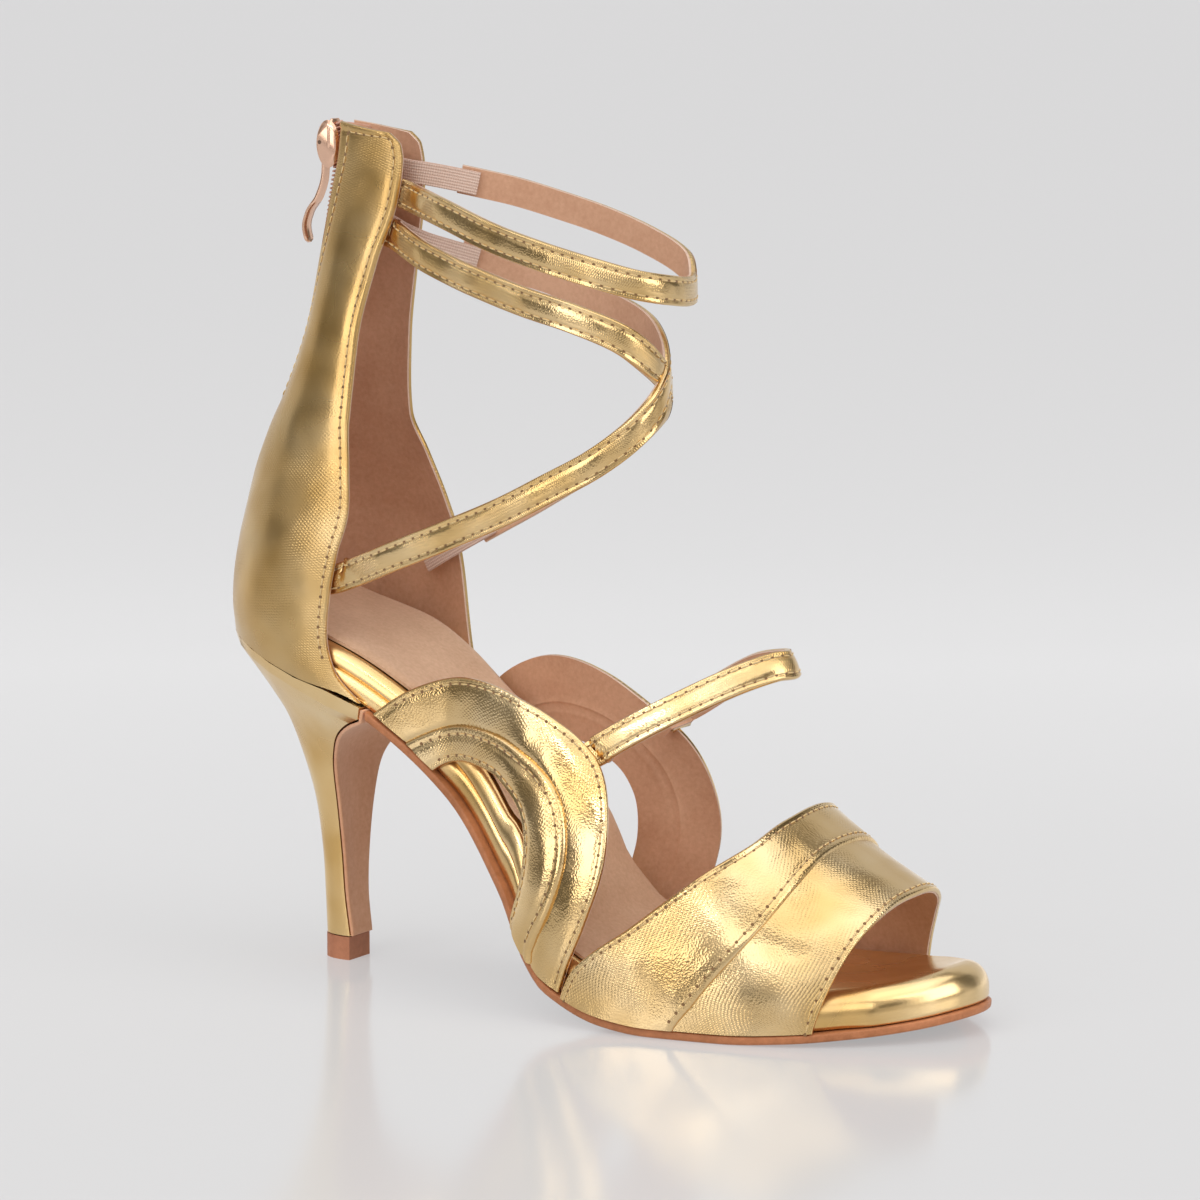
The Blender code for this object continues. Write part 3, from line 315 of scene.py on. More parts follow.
# Back of the shoe, a row for each level: up is a share of SHAFT_HEIGHT at the back edge,
# back and fronts are shares of SEAT_LENGTH, spread is a share of the seat's width, and
# the front_up columns are the height of the front edges as shares of SHAFT_HEIGHT
Level = namedtuple("Level", "up back spread outer_front outer_up inner_front inner_up")
QUARTER = [
    Level(0.000, 0.030, 1.00, 0.995, -0.122, 1.060, -0.135),
    Level(0.058, 0.026, 1.02, 0.850, -0.056, 1.013, -0.064),
    Level(0.110, 0.039, 1.03, 0.812, 0.012, 0.987, 0.005),
    Level(0.187, 0.076, 1.02, 0.830, 0.103, 0.964, 0.096),
    Level(0.248, 0.117, 1.00, 0.860, 0.172, 0.937, 0.168),
    Level(0.316, 0.154, 0.87, 0.885, 0.248, 0.912, 0.244),
    Level(0.392, 0.219, 0.70, 0.841, 0.339, 0.857, 0.339),
    Level(0.468, 0.311, 0.57, 0.803, 0.430, 0.797, 0.423),
    Level(0.612, 0.447, 0.44, 0.815, 0.582, 0.832, 0.575),
    Level(0.749, 0.513, 0.33, 0.895, 0.734, 0.908, 0.727),
    Level(0.856, 0.557, 0.25, 0.987, 0.848, 0.971, 0.848),
    Level(0.924, 0.585, 0.21, 1.010, 0.924, 0.987, 0.916),
    Level(0.970, 0.593, 0.19, 0.994, 0.958, 0.975, 0.954),
    Level(1.000, 0.597, 0.18, 0.930, 0.981, 0.918, 0.977),
]

# Heel, a row for each section from the seat down: back and front are heights and places as
# shares of HEEL_HEIGHT and SEAT_LENGTH, spread a share of the seat's width, hollow of the front
Section = namedtuple("Section", "rear_height front_height rear front spread hollow")
HEEL = [
    Section(1.000, 0.800, 0.000, 1.000, 1.00, 0.000),
    Section(0.955, 0.770, 0.058, 0.880, 0.87, 0.040),
    Section(0.880, 0.725, 0.155, 0.765, 0.69, 0.055),
    Section(0.780, 0.670, 0.268, 0.690, 0.53, 0.045),
    Section(0.660, 0.600, 0.352, 0.645, 0.405, 0.030),
    Section(0.500, 0.480, 0.432, 0.632, 0.300, 0.018),
    Section(0.340, 0.335, 0.462, 0.630, 0.222, 0.010),
    Section(0.200, 0.200, 0.472, 0.634, 0.186, 0.005),
    Section(0.074, 0.074, 0.478, 0.658, 0.172, 0.000),
]

# Side bands, a row for each station from the back end to the front end, seen from the side:
# edge is the free edge, cut the edge of the cut-out, as shares of LENGTH and HEEL_HEIGHT,
# and seam is where the raised band starts, as a share of the way from edge to cut
Band = namedtuple("Band", "edge_along edge_up cut_along cut_up seam")
SIDE_BAND = [
    Band(0.252, 0.800, 0.340, 0.655, 0.50),
    Band(0.298, 0.880, 0.358, 0.684, 0.55),
    Band(0.341, 0.928, 0.376, 0.700, 0.56),
    Band(0.380, 0.950, 0.397, 0.706, 0.56),
    Band(0.421, 0.946, 0.420, 0.700, 0.55),
    Band(0.463, 0.920, 0.445, 0.685, 0.53),
    Band(0.507, 0.874, 0.466, 0.656, 0.51),
    Band(0.552, 0.806, 0.484, 0.622, 0.49),
    Band(0.583, 0.738, 0.496, 0.580, 0.48),
    Band(0.602, 0.650, 0.503, 0.535, 0.47),
    Band(0.612, 0.533, 0.505, 0.480, 0.46),
    Band(0.610, 0.424, 0.503, 0.420, 0.46),
    Band(0.594, 0.292, 0.497, 0.365, 0.47),
    Band(0.575, 0.180, 0.491, 0.325, 0.50),
    Band(0.561, 0.080, 0.486, 0.290, 0.54),
]
INNER_BAND_SHIFT = 0.016   # the inner side band starts further forward, share of LENGTH
INNER_BAND_SCALE = 0.94    # and is shorter
FOOT_GAP = 0.00057         # between a side band's foot and the sole's bent edge

# Toe piece, a row for each place round the arch: around runs 0 at the outer sole edge to 1 at
# the inner one, and rear, seam and front are shares of LENGTH
Arch = namedtuple("Arch", "around rear seam front")
VAMP = [
    Arch(0.00, 0.567, 0.714, 0.867),
    Arch(0.03, 0.586, 0.738, 0.872),
    Arch(0.10, 0.652, 0.774, 0.882),
    Arch(0.19, 0.712, 0.803, 0.893),
    Arch(0.30, 0.754, 0.818, 0.904),
    Arch(0.42, 0.767, 0.821, 0.911),
    Arch(0.50, 0.767, 0.822, 0.913),
    Arch(0.60, 0.762, 0.820, 0.910),
    Arch(0.71, 0.744, 0.814, 0.900),
    Arch(0.81, 0.712, 0.798, 0.882),
    Arch(0.90, 0.662, 0.778, 0.866),
    Arch(0.97, 0.610, 0.748, 0.858),
    Arch(1.00, 0.598, 0.738, 0.856),
]

# Straps, a row for each place on the centre line of their lining side: forward as a share of
# ANKLE_REACH, side as a share of ANKLE_HALF_WIDTH, up as a share of SHAFT_HEIGHT from the
# top of the heel, and lean in degrees, the top edge leaning inwards
STRAP_BACK = 0.0027     # where the tables start, behind the shaft's front edge
ANKLE_REACH = 0.0812
ANKLE_HALF_WIDTH = 0.0222
Place = namedtuple("Place", "forward side up lean")
ANKLE_STRAP = [
    Place(-0.07, -0.143, 0.870, 12),
    Place(0.01, -0.145, 0.865, 10),
    Place(0.038, -0.155, 0.862, 9),
    Place(0.085, -0.240, 0.857, 7),
    Place(0.16, -0.42, 0.851, 5),
    Place(0.25, -0.60, 0.841, 3),
    Place(0.47, -0.85, 0.805, 2),
    Place(0.67, -0.97, 0.777, 2),
    Place(0.85, -0.94, 0.751, 2),
    Place(0.96, -0.74, 0.730, 2),
    Place(1.01, -0.36, 0.716, 2),
    Place(0.998, 0.10, 0.707, 2),
    Place(0.95, 0.47, 0.712, 2),
    Place(0.88, 0.72, 0.747, 2),
    Place(0.73, 0.88, 0.783, 2),
    Place(0.56, 0.94, 0.815, 2),
    Place(0.39, 0.89, 0.843, 3),
    Place(0.27, 0.76, 0.864, 5),
    Place(0.17, 0.56, 0.880, 6),
    Place(0.09, 0.36, 0.893, 8),
    Place(0.045, 0.235, 0.900, 10),
    Place(0.015, 0.160, 0.904, 11),
    Place(-0.04, 0.148, 0.909, 12),
    Place(-0.09, 0.145, 0.913, 14),
]
CROSS_REACH = 0.0805
FALLING_STRAP = [
    Place(-0.10, -0.180, 0.798, 12),
    Place(-0.04, -0.195, 0.792, 10),
    Place(0.00, -0.215, 0.787, 8),
    Place(0.045, -0.30, 0.780, 6),
    Place(0.11, -0.45, 0.769, 4),
    Place(0.19, -0.60, 0.755, 3),
    Place(0.30, -0.74, 0.737, 3),
    Place(0.41, -0.85, 0.720, 2),
    Place(0.61, -0.96, 0.690, 2),
    Place(0.79, -0.98, 0.665, 2),
    Place(0.925, -0.84, 0.631, 2),
    Place(0.975, -0.50, 0.580, 2),
    Place(0.945, 0.00, 0.530, 2),
    Place(0.87, 0.40, 0.487, 2),
    Place(0.79, 0.66, 0.452, 2),
    Place(0.66, 0.86, 0.395, 1),
    Place(0.48, 1.00, 0.329, 0),
    Place(0.29, 1.06, 0.262, -2),
    Place(0.13, 1.045, 0.208, -3),
    Place(0.04, 1.005, 0.176, -3),
    Place(-0.035, 0.995, 0.149, -3),
    Place(-0.11, 1.01, 0.122, -3),
]
RISING_STRAP = [
    Place(-0.16, -1.00, 0.125, -2),
    Place(-0.09, -0.995, 0.132, -2),
    Place(-0.05, -1.00, 0.139, -2),
    Place(0.02, -1.055, 0.155, -2),
    Place(0.10, -1.115, 0.175, -2),
    Place(0.18, -1.15, 0.196, -2),
    Place(0.36, -1.17, 0.241, -1),
    Place(0.56, -1.16, 0.294, 0),
    Place(0.715, -1.10, 0.344, 1),
    Place(0.86, -0.98, 0.395, 1),
    Place(0.955, -0.80, 0.447, 2),
    Place(0.990, -0.53, 0.498, 2),
    Place(0.970, -0.20, 0.545, 2),
    Place(0.895, 0.16, 0.593, 2),
    Place(0.775, 0.52, 0.628, 2),
    Place(0.58, 0.84, 0.658, 2),
    Place(0.38, 0.91, 0.693, 2),
    Place(0.27, 0.82, 0.712, 3),
    Place(0.17, 0.65, 0.731, 4),
    Place(0.09, 0.46, 0.748, 6),
    Place(0.03, 0.31, 0.762, 7),
    Place(-0.02, 0.240, 0.776, 8),
    Place(-0.08, 0.232, 0.793, 10),
    Place(-0.14, 0.215, 0.810, 12),
]
# Leather shares of each strap's length, from its own first row; elastic makes the rest
ANKLE_LEATHER = 0.91
FALLING_LEATHER = 0.925
RISING_LEATHER = 0.895
ELASTIC_STEPS = 1       # steps of a strap's path over which leather and elastic lap
ANKLE_STEPS = 44        # steps along each strap's path
CROSS_STEPS = 48
INSTEP_STEPS = 30
CROSS_STEP = 0.0003     # how far the rising strap stands outside the falling one's line

# Instep strap on its own loop: forward as a share of INSTEP_REACH, side as a share of
# INSTEP_HALF_WIDTH, up as a share of HEEL_HEIGHT
INSTEP_BACK = 0.0120    # where the table starts, behind the side bands' foremost edge
INSTEP_REACH = 0.0400
INSTEP_HALF_WIDTH = 0.0240
INSTEP_STRAP = [
    Place(-0.10, -1.10, 0.714, 24),
    Place(0.075, -1.06, 0.773, 24),
    Place(0.30, -0.875, 0.843, 26),
    Place(0.575, -0.60, 0.920, 28),
    Place(0.825, -0.31, 0.984, 28),
    Place(0.995, -0.02, 1.019, 26),
    Place(1.025, 0.17, 1.018, 24),
    Place(0.94, 0.38, 1.013, 24),
    Place(0.69, 0.56, 0.984, 26),
    Place(0.39, 0.72, 0.913, 28),
    Place(0.16, 0.72, 0.840, 30),
    Place(-0.01, 0.56, 0.775, 32),
]

# Pull tab seen from the side, from the pin to its end: shares of TAB_LENGTH
Bend = namedtuple("Bend", "back down")
TAB = [
    Bend(0.00, 0.00),
    Bend(0.00, 0.15),
    Bend(0.01, 0.33),
    Bend(0.08, 0.54),
    Bend(0.195, 0.70),
    Bend(0.235, 0.84),
    Bend(0.200, 1.00),
]
print("tables read:", len(SOLE) + len(QUARTER) + len(SIDE_BAND), "rows")

# %% [markdown]
# ## Gold foil leather
# The leather is a fine grained hide under a thin gold foil. From afar it is nearly a mirror, and
# close up the grain breaks each reflection into fine sparkles. Where a strap bends, the foil
# crinkles into tiny crossed lines. All of it is small relief, so the material makes it: a
# cell texture for the grain, two crossed waves for the crinkles where a soft mask lets them
# show, and a slow swell that keeps big reflections from being straight.

# %% A colour ramp, and the gold leather
def ramp(add, source, stops):
    """A colour ramp with the given stops of place and colour or grey."""
    made = add("ShaderNodeValToRGB", {"Fac": source})
    elements = made.color_ramp.elements
    while len(elements) < len(stops):
        elements.new(0.5)
    for element, (at, value) in zip(elements, stops):
        element.position = at
        element.color = (*value, 1) if isinstance(value, tuple) else (value, value, value, 1)
    return made


def gold_leather(name, grain, hatch, satin, swell, crinkles=(0.95, 430.0), painted_light_scale=(1.0, 1.0, 1.0)):
    """Foil leather: cell grain, crossed crinkles of a slant and fineness, polish and slow swell."""
    material, shader, add, link = new_material(name, (0.82, 0.575, 0.245), satin, 1.0)
    slant, fineness = crinkles
    shader.inputs["Coat Weight"].default_value = 0.10
    shader.inputs["Coat Roughness"].default_value = 0.15
    where = add("ShaderNodeTexCoord").outputs
    slow = add("ShaderNodeTexNoise", {"Vector": where["Object"]}, Scale=48.0, Detail=2.0)
    # Slow tint of the foil: partly random tone, partly painted reflection, its pale stop standing for cream
    # highlights and its darker stop for olive shade.
    gold_tones_and_painted_reflections = [(0.30, (0.70, 0.46, 0.18)), (0.52, (0.81, 0.58, 0.29)), (0.75, (0.87, 0.68, 0.41))]
    # A copy's colour scale is painted light: below one it paints shade, above one a highlight.
    tint = ramp(add, slow.outputs["Fac"],
                [(at, tuple(t * part for t, part in zip(painted_light_scale, shade))) for at, shade in gold_tones_and_painted_reflections])
    link(tint.outputs["Color"], shader.inputs["Base Color"])
    cells = add("ShaderNodeTexVoronoi", {"Vector": where["Object"]}, Scale=1900.0)
    mask = add("ShaderNodeTexNoise", {"Vector": where["Object"]}, Scale=60.0, Detail=1.0)
    shows = ramp(add, mask.outputs["Fac"], [(0.46, 0.04), (0.64, 1.0)])
    waves = []
    for turn in (slant, -slant):
        laid = add("ShaderNodeMapping", {"Vector": where["UV"]}, Rotation=(0, 0, turn))
        waves.append(add("ShaderNodeTexWave", {"Vector": laid.outputs["Vector"]}, Scale=fineness,
                         Distortion=2.2, Detail=2.0, **{"Detail Scale": 1.2}))
    crossed = add("ShaderNodeMath", {0: waves[0].outputs["Fac"], 1: waves[1].outputs["Fac"]},
                  operation="MULTIPLY")
    crinkle = add("ShaderNodeMath", {0: crossed.outputs[0], 1: shows.outputs["Color"]},
                  operation="MULTIPLY")
    swollen = add("ShaderNodeBump", {"Height": slow.outputs["Fac"]}, Strength=swell, Distance=0.0010)
    hatched = add("ShaderNodeBump", {"Height": crinkle.outputs[0], "Normal": swollen.outputs["Normal"]},
                  Strength=hatch, Distance=0.00016)
    grained = add("ShaderNodeBump", {"Height": cells.outputs["Distance"],
                                     "Normal": hatched.outputs["Normal"]},
                  Strength=grain, Distance=0.00006)
    link(grained.outputs["Normal"], shader.inputs["Normal"])
    polish = add("ShaderNodeMapRange", {"Value": mask.outputs["Fac"]},
                 **{"From Min": 0.3, "From Max": 0.7, "To Min": satin * 0.8, "To Max": satin * 1.3})
    link(polish.outputs["Result"], shader.inputs["Roughness"])
    return material


gold = gold_leather("gold foil leather", 0.5, 0.40, 0.15, 1.2)
gold_strap = gold_leather("gold foil strap", 0.4, 0.70, 0.17, 0.9, (0.35, 620.0))
# The back's copy is scaled darker as painted shade, and the copy on the sole and heel lighter as painted
# highlight.
gold_wall = gold_leather("satin gold of the back in painted shade", 0.30, 0.60, 0.29, 0.55,
                         (0.35, 500.0), (0.84, 0.79, 0.68))
gold_smooth = gold_leather("gold foil on the sole and heel, painted lighter", 0.12, 0.03, 0.24, 0.12, painted_light_scale=(1.08, 1.06, 1.0))
print("made", gold.name, gold_strap.name, gold_wall.name, "and", gold_smooth.name)

# %% [markdown]
# ## Linings, edges, elastic and the rest
# Inside, the shoe is lined with soft pinkish brown suede, and a thin pale edge of it shows along
# every folded rim. Suede has a fine random nap and a soft sheen at grazing angles. The sole's
# edge is tan, the heel's front is brown suede, and the elastics are ribbed fabric.

# %% Matte and woven materials
def napped(name, dark, light, scale=900.0, relief=0.00012, sheen=0.25, roughness=0.92):
    """Suede or matte leather: blotches in colour, and a fine nap in relief."""
    material, shader, add, link = new_material(name, light, roughness)
    shader.inputs["Sheen Weight"].default_value = sheen
    shader.inputs["Sheen Roughness"].default_value = 0.5
    shader.inputs["Specular IOR Level"].default_value = 0.25
    where = add("ShaderNodeTexCoord").outputs["Object"]
    blotch = add("ShaderNodeTexNoise", {"Vector": where}, Scale=48.0, Detail=5.0, Roughness=0.6)
    nap = add("ShaderNodeTexNoise", {"Vector": where}, Scale=scale, Detail=6.0, Roughness=0.7)
    both = add("ShaderNodeMath", {0: blotch.outputs["Fac"], 1: nap.outputs["Fac"]}, operation="ADD")
    half = add("ShaderNodeMath", {0: both.outputs[0]}, operation="MULTIPLY")
    half.inputs[1].default_value = 0.5
    tint = ramp(add, half.outputs[0], [(0.36, dark), (0.64, light)])
    link(tint.outputs["Color"], shader.inputs["Base Color"])
    bump = add("ShaderNodeBump", {"Height": nap.outputs["Fac"]}, Strength=0.5, Distance=relief)
    link(bump.outputs["Normal"], shader.inputs["Normal"])
    return material


lining = napped("pinkish brown lining", (0.56, 0.31, 0.195), (0.71, 0.435, 0.29), sheen=0.08)
sock_suede = napped("beige sock suede", (0.55, 0.33, 0.20), (0.72, 0.475, 0.32))
pale_edge = napped("pale lining edge", (0.60, 0.42, 0.33), (0.74, 0.56, 0.45), sheen=0.1, roughness=0.6)
tan_edge = napped("tan sole edge", (0.38, 0.145, 0.06), (0.60, 0.240, 0.11), 500.0, sheen=0.0, roughness=0.42)
sole_suede = napped("grey brown sole suede", (0.17, 0.12, 0.09), (0.30, 0.22, 0.17), 700.0, 0.0002)
brown_suede = napped("brown heel front", (0.68, 0.33, 0.18), (0.82, 0.46, 0.28), 800.0)
tip_tan = napped("tan heel tip", (0.40, 0.155, 0.080), (0.56, 0.235, 0.13), 500.0, sheen=0.0, roughness=0.5)


def ribbed_elastic():
    """Nude elastic: ribs run lengthwise, crossed by fine picks."""
    material, shader, add, link = new_material("ribbed elastic", (0.66, 0.46, 0.36), 0.72)
    shader.inputs["Sheen Weight"].default_value = 0.3
    where = add("ShaderNodeTexCoord").outputs["UV"]
    ribs = add("ShaderNodeTexWave", {"Vector": where}, Scale=420.0, bands_direction="Y")
    picks = add("ShaderNodeTexWave", {"Vector": where}, Scale=520.0, bands_direction="X", Distortion=0.6)
    woven = add("ShaderNodeMath", {0: ribs.outputs["Fac"], 1: picks.outputs["Fac"]}, operation="ADD")
    # Rib crowns lighter and grooves darker, following the relief: painted shade in the grooves.
    tint = ramp(add, ribs.outputs["Fac"], [(0.0, (0.62, 0.43, 0.35)), (1.0, (0.80, 0.63, 0.54))])
    link(tint.outputs["Color"], shader.inputs["Base Color"])
    bump = add("ShaderNodeBump", {"Height": woven.outputs[0]}, Strength=0.6, Distance=0.00015)
    link(bump.outputs["Normal"], shader.inputs["Normal"])
    return material


def plain_metal(name, colour, roughness):
    """Plated metal with faint wear in its polish."""
    material, shader, add, link = new_material(name, colour, roughness, 1.0)
    where = add("ShaderNodeTexCoord").outputs["Object"]
    worn = add("ShaderNodeTexNoise", {"Vector": where}, Scale=260.0, Detail=4.0)
    polish = add("ShaderNodeMapRange", {"Value": worn.outputs["Fac"]},
                 **{"To Min": roughness * 0.7, "To Max": roughness * 1.5})
    link(polish.outputs["Result"], shader.inputs["Roughness"])
    bump = add("ShaderNodeBump", {"Height": worn.outputs["Fac"]}, Strength=0.15, Distance=0.0001)
    link(bump.outputs["Normal"], shader.inputs["Normal"])
    return material


elastic = ribbed_elastic()
rose_gold = plain_metal("rose gold plate", (0.90, 0.58, 0.42), 0.20)
zip_fabric = napped("rose zip tape", (0.50, 0.27, 0.20), (0.68, 0.42, 0.34), 1200.0)
thread = napped("gold thread", (0.60, 0.41, 0.18), (0.86, 0.66, 0.36), 2500.0, 0.00005, 0.0, 0.40)
# The needle holes' dark brown is painted shade in the pits.
needle_hole_shade = napped("needle hole", (0.17, 0.090, 0.035), (0.30, 0.170, 0.080), 900.0)
print("materials:", len(bpy.data.materials))

# %% [markdown]
# ## Reading the tables
# Each table is a few rows of shares. A cubic through the rows gives the shape in between, so a
# short table can describe a long smooth edge.

# %% Curves through tables
def cubic(knots, values, at, monotone=True):
    """Value at a place on a cubic through the knots; monotone keeps flat runs flat."""
    last = len(knots) - 1
    at = min(max(at, knots[0]), knots[-1])
    i = 0
    while i < last - 1 and at > knots[i + 1]:
        i += 1
    rises = [(values[k + 1] - values[k]) / (knots[k + 1] - knots[k]) for k in range(last)]

    def slope(k):
        if k == 0:
            return rises[0]
        if k == last:
            return rises[-1]
        before, after = rises[k - 1], rises[k]
        if not monotone:
            return (values[k + 1] - values[k - 1]) / (knots[k + 1] - knots[k - 1])
        return 0.0 if before * after <= 0 else 2 * before * after / (before + after)

    run = knots[i + 1] - knots[i]
    t = (at - knots[i]) / run
    return (values[i] * (1 + 2 * t) * (1 - t) ** 2 + slope(i) * run * t * (1 - t) ** 2
            + values[i + 1] * t * t * (3 - 2 * t) - slope(i + 1) * run * t * t * (1 - t))


def read(table, column, at, monotone=True):
    """One named column of a table at a place given in its first column."""
    return cubic([row[0] for row in table], [getattr(row, column) for row in table], at, monotone)


def turning(along):
    """Spreads out both ends of the sole, where its outline is round."""
    return acos(1 - 2 * min(max(along, 0.0), 1.0)) / pi


def half_width(side, along):
    """Distance of the sole's edge from the centre line."""
    column = "outer" if side == OUTER else "inner"
    knots = [turning(row.along) for row in SOLE]
    values = [getattr(row, column) for row in SOLE]
    return cubic(knots, values, turning(along)) * BALL_WIDTH


def sole_x(along):
    return along * LENGTH - HEEL_SETBACK


def sole_along(x):
    return (x + HEEL_SETBACK) / LENGTH


def sole_edge(side, along, inset=0.0):
    """Point of the sole's outline in plan, moved inwards by inset."""
    turn = turning(along)
    ends = []
    for step in (-0.004, 0.004):
        share = (1 - cos(pi * min(max(turn + step, 0.0), 1.0))) / 2
        ends.append(Vector((sole_x(share), side * half_width(side, share))))
    travel = (ends[1] - ends[0]).normalized()
    outward = Vector((-travel.y, travel.x)) * side
    if along <= 0:
        outward = Vector((-1, 0))
    if along >= 1:
        outward = Vector((1, 0))
    return Vector((sole_x(along), side * half_width(side, along))) - outward * inset


def underside(x):
    """Height of the sole's lower face."""
    return read(SOLE, "rise", sole_along(x)) * HEEL_HEIGHT


def sole_z(x, above):
    """Height of a layer that lies the given thickness above the sole's lower face."""
    step = 0.0015
    slope = (underside(x + step) - underside(x - step)) / (2 * step)
    return underside(x) + above * (1 + slope * slope) ** 0.5


BREAST_X = SEAT_LENGTH - HEEL_SETBACK
OUTSOLE_BACK = BREAST_X + 2 * GAP + BREAST_COVER
RAMP = 0.020    # length over which the outsole comes in under the insole


def support(x):
    """Thickness under the insole: none on the heel's seat, the outsole in front of it."""
    t = min(max((x - BREAST_X + RAMP) / RAMP, 0.0), 1.0)
    return OUTSOLE * t * t * (3 - 2 * t)


def sole_top(x):
    """Height of what carries the insole and the upper."""
    return sole_z(x, support(x) + GAP)


INSOLE_TOP = OUTSOLE + GAP + INSOLE_LOWER + INSOLE_UPPER
INSOLE_INSET = WALL + 1.3 * GAP


def insole_inset(along):
    """Inside the upper's walls, and nearly flush with the outsole in front of the toe piece."""
    t = min(max((along - TOE_BARE) / TOE_BARE_BLEND, 0.0), 1.0)
    return INSOLE_INSET + (TOE_INSET - INSOLE_INSET) * t * t * (3 - 2 * t)


def last_edge(side, x, z):
    """Lining side of the upper beside the foot, at a place seen from the side."""
    along = sole_along(x)
    width = half_width(side, along) - WALL
    crest = read(CREST, "height", along) * INSTEP_HEIGHT
    share = min(max((z - sole_top(x)) / crest, 0.0), 0.999)
    return Vector((x, side * width * (1 - share ** ROUNDNESS) ** (1 / ROUNDNESS), z))

# %% [markdown]
# ## A leather sheet
# Every upper piece is one sheet: a grid of points on its lining side, and a face that stands
# off it by the leather's thickness. A solidify modifier could do that, but here the thickness
# itself carries detail: it dips along stitches and swells between them. The rim is folded: the
# gold rounds over the edge, and the pale lining edge shows under it.

# %% The sheet and its mesh
class Sheet:
    """Grid of a leather piece: rows run along it and columns run across it."""

    def __init__(self, grid, facing):
        self.back = np.array([[tuple(point) for point in row] for row in grid])
        run = np.gradient(self.back, axis=0)
        across = np.gradient(self.back, axis=1)
        normal = np.cross(run, across)
        self.normal = facing * normal / np.linalg.norm(normal, axis=2, keepdims=True)
        along_steps = np.linalg.norm(np.diff(self.back, axis=0), axis=2)
        across_steps = np.linalg.norm(np.diff(self.back, axis=1), axis=2)
        rows, columns = self.back.shape[:2]
        self.along = np.vstack([np.zeros((1, columns)), np.cumsum(along_steps, axis=0)])
        self.across = np.hstack([np.zeros((rows, 1)), np.cumsum(across_steps, axis=1)])
        self.face = None

    def thicken(self, thickness):
        self.face = self.back + self.normal * thickness[..., None]

    def margins(self):
        """Distance of each point from the first and last column, and the first and last row."""
        return (self.across, self.across[:, -1:] - self.across,
                self.along, self.along[-1:, :] - self.along)

    def column_at(self, row, distance, from_end=False):
        """Fractional column at a distance from the first or the last column."""
        reach = self.across[row]
        target = reach[-1] - distance if from_end else distance
        return float(np.interp(target, reach, np.arange(len(reach))))

    def row_at(self, column, distance, from_end=False):
        reach = self.along[:, column]
        target = reach[-1] - distance if from_end else distance
        return float(np.interp(target, reach, np.arange(len(reach))))

    def on_face(self, row, column):
        """Point and normal of the face at fractional grid places."""
        rows, columns = self.face.shape[:2]
        i, j = min(int(row), rows - 2), min(int(column), columns - 2)
        s, t = row - i, column - j
        point, normal = [
            (layer[i, j] * (1 - t) + layer[i, j + 1] * t) * (1 - s)
            + (layer[i + 1, j] * (1 - t) + layer[i + 1, j + 1] * t) * s
            for layer in (self.face, self.normal)]
        return Vector(point), Vector(normal).normalized()


# %% Mesh of a sheet
FOLD = ((0.08, 0.62), (0.29, 0.29), (0.62, 0.08), (1.0, 0.0))   # drop and inset round a fold
EDGE_INSET = 0.00012    # the pale edge lies a little inside the gold


def unit(vector):
    return vector / max(np.linalg.norm(vector), 1e-9)


def rim_places(rows, columns):
    """Grid places once round the rim."""
    places = [(i, 0) for i in range(rows)] + [(rows - 1, j) for j in range(1, columns)]
    places += [(i, columns - 1) for i in range(rows - 2, -1, -1)]
    places += [(0, j) for j in range(columns - 2, 0, -1)]
    return places


def outwards(back, i, j, cut_rows):
    """Direction that leads off the sheet at a place of its rim; a row that is cut gives none."""
    rows, columns = back.shape[:2]
    pull = np.zeros(3)
    if j == 0:
        pull += unit(back[i, 0] - back[i, 1])
    if j == columns - 1:
        pull += unit(back[i, -1] - back[i, -2])
    if i == 0 and 0 not in cut_rows:
        pull += unit(back[0, j] - back[1, j])
    if i == rows - 1 and -1 not in cut_rows:
        pull += unit(back[-1, j] - back[-2, j])
    return pull


def folded_rim(sheet, rim, fold, cut_rows):
    """Points of the face and of the lining, and the rings between them that fold over the rim."""
    face_points = sheet.face.reshape(-1, 3).copy()
    back_points = sheet.back.reshape(-1, 3).copy()
    rings = [[] for _ in range(len(FOLD) + 2)]
    for i, j in rim:
        k = i * sheet.face.shape[1] + j
        edge_face, edge_back = face_points[k].copy(), back_points[k].copy()
        depth = edge_face - edge_back
        radius = np.linalg.norm(depth) * fold
        out = outwards(sheet.back, i, j, cut_rows)
        face_points[k] = edge_face - out * radius
        for ring, (drop, inset) in zip(rings, FOLD):
            ring.append(edge_face - out * radius * inset - depth * fold * drop)
        rings[-2].append(edge_back + depth * 0.30)
        rings[-1].append(edge_back + depth * 0.28 - out * EDGE_INSET)
        back_points[k] = edge_back - out * EDGE_INSET
    return [face_points, back_points] + [np.array(ring) for ring in rings]


def mesh_of(name, points, faces, slots, *materials):
    """Mesh from points and faces, with the number of its material for each face."""
    mesh = bpy.data.meshes.new(name)
    mesh.from_pydata([tuple(point) for point in points], [], faces)
    for material in materials:
        mesh.materials.append(material)
    for polygon, index in zip(mesh.polygons, slots):
        polygon.material_index = index
    return mesh


def smooth_object(mesh, crease, bm=None):
    """Object of a mesh: faces turned outwards, smooth, and sharp where they bend by more degrees."""
    if bm is None:
        bm = bmesh.new()
        bm.from_mesh(mesh)
    bmesh.ops.recalc_face_normals(bm, faces=bm.faces)
    bm.to_mesh(mesh)
    bm.free()
    mesh.shade_smooth()
    mesh.set_sharp_from_angle(angle=radians(crease))
    return bpy.data.objects.new(mesh.name, mesh)


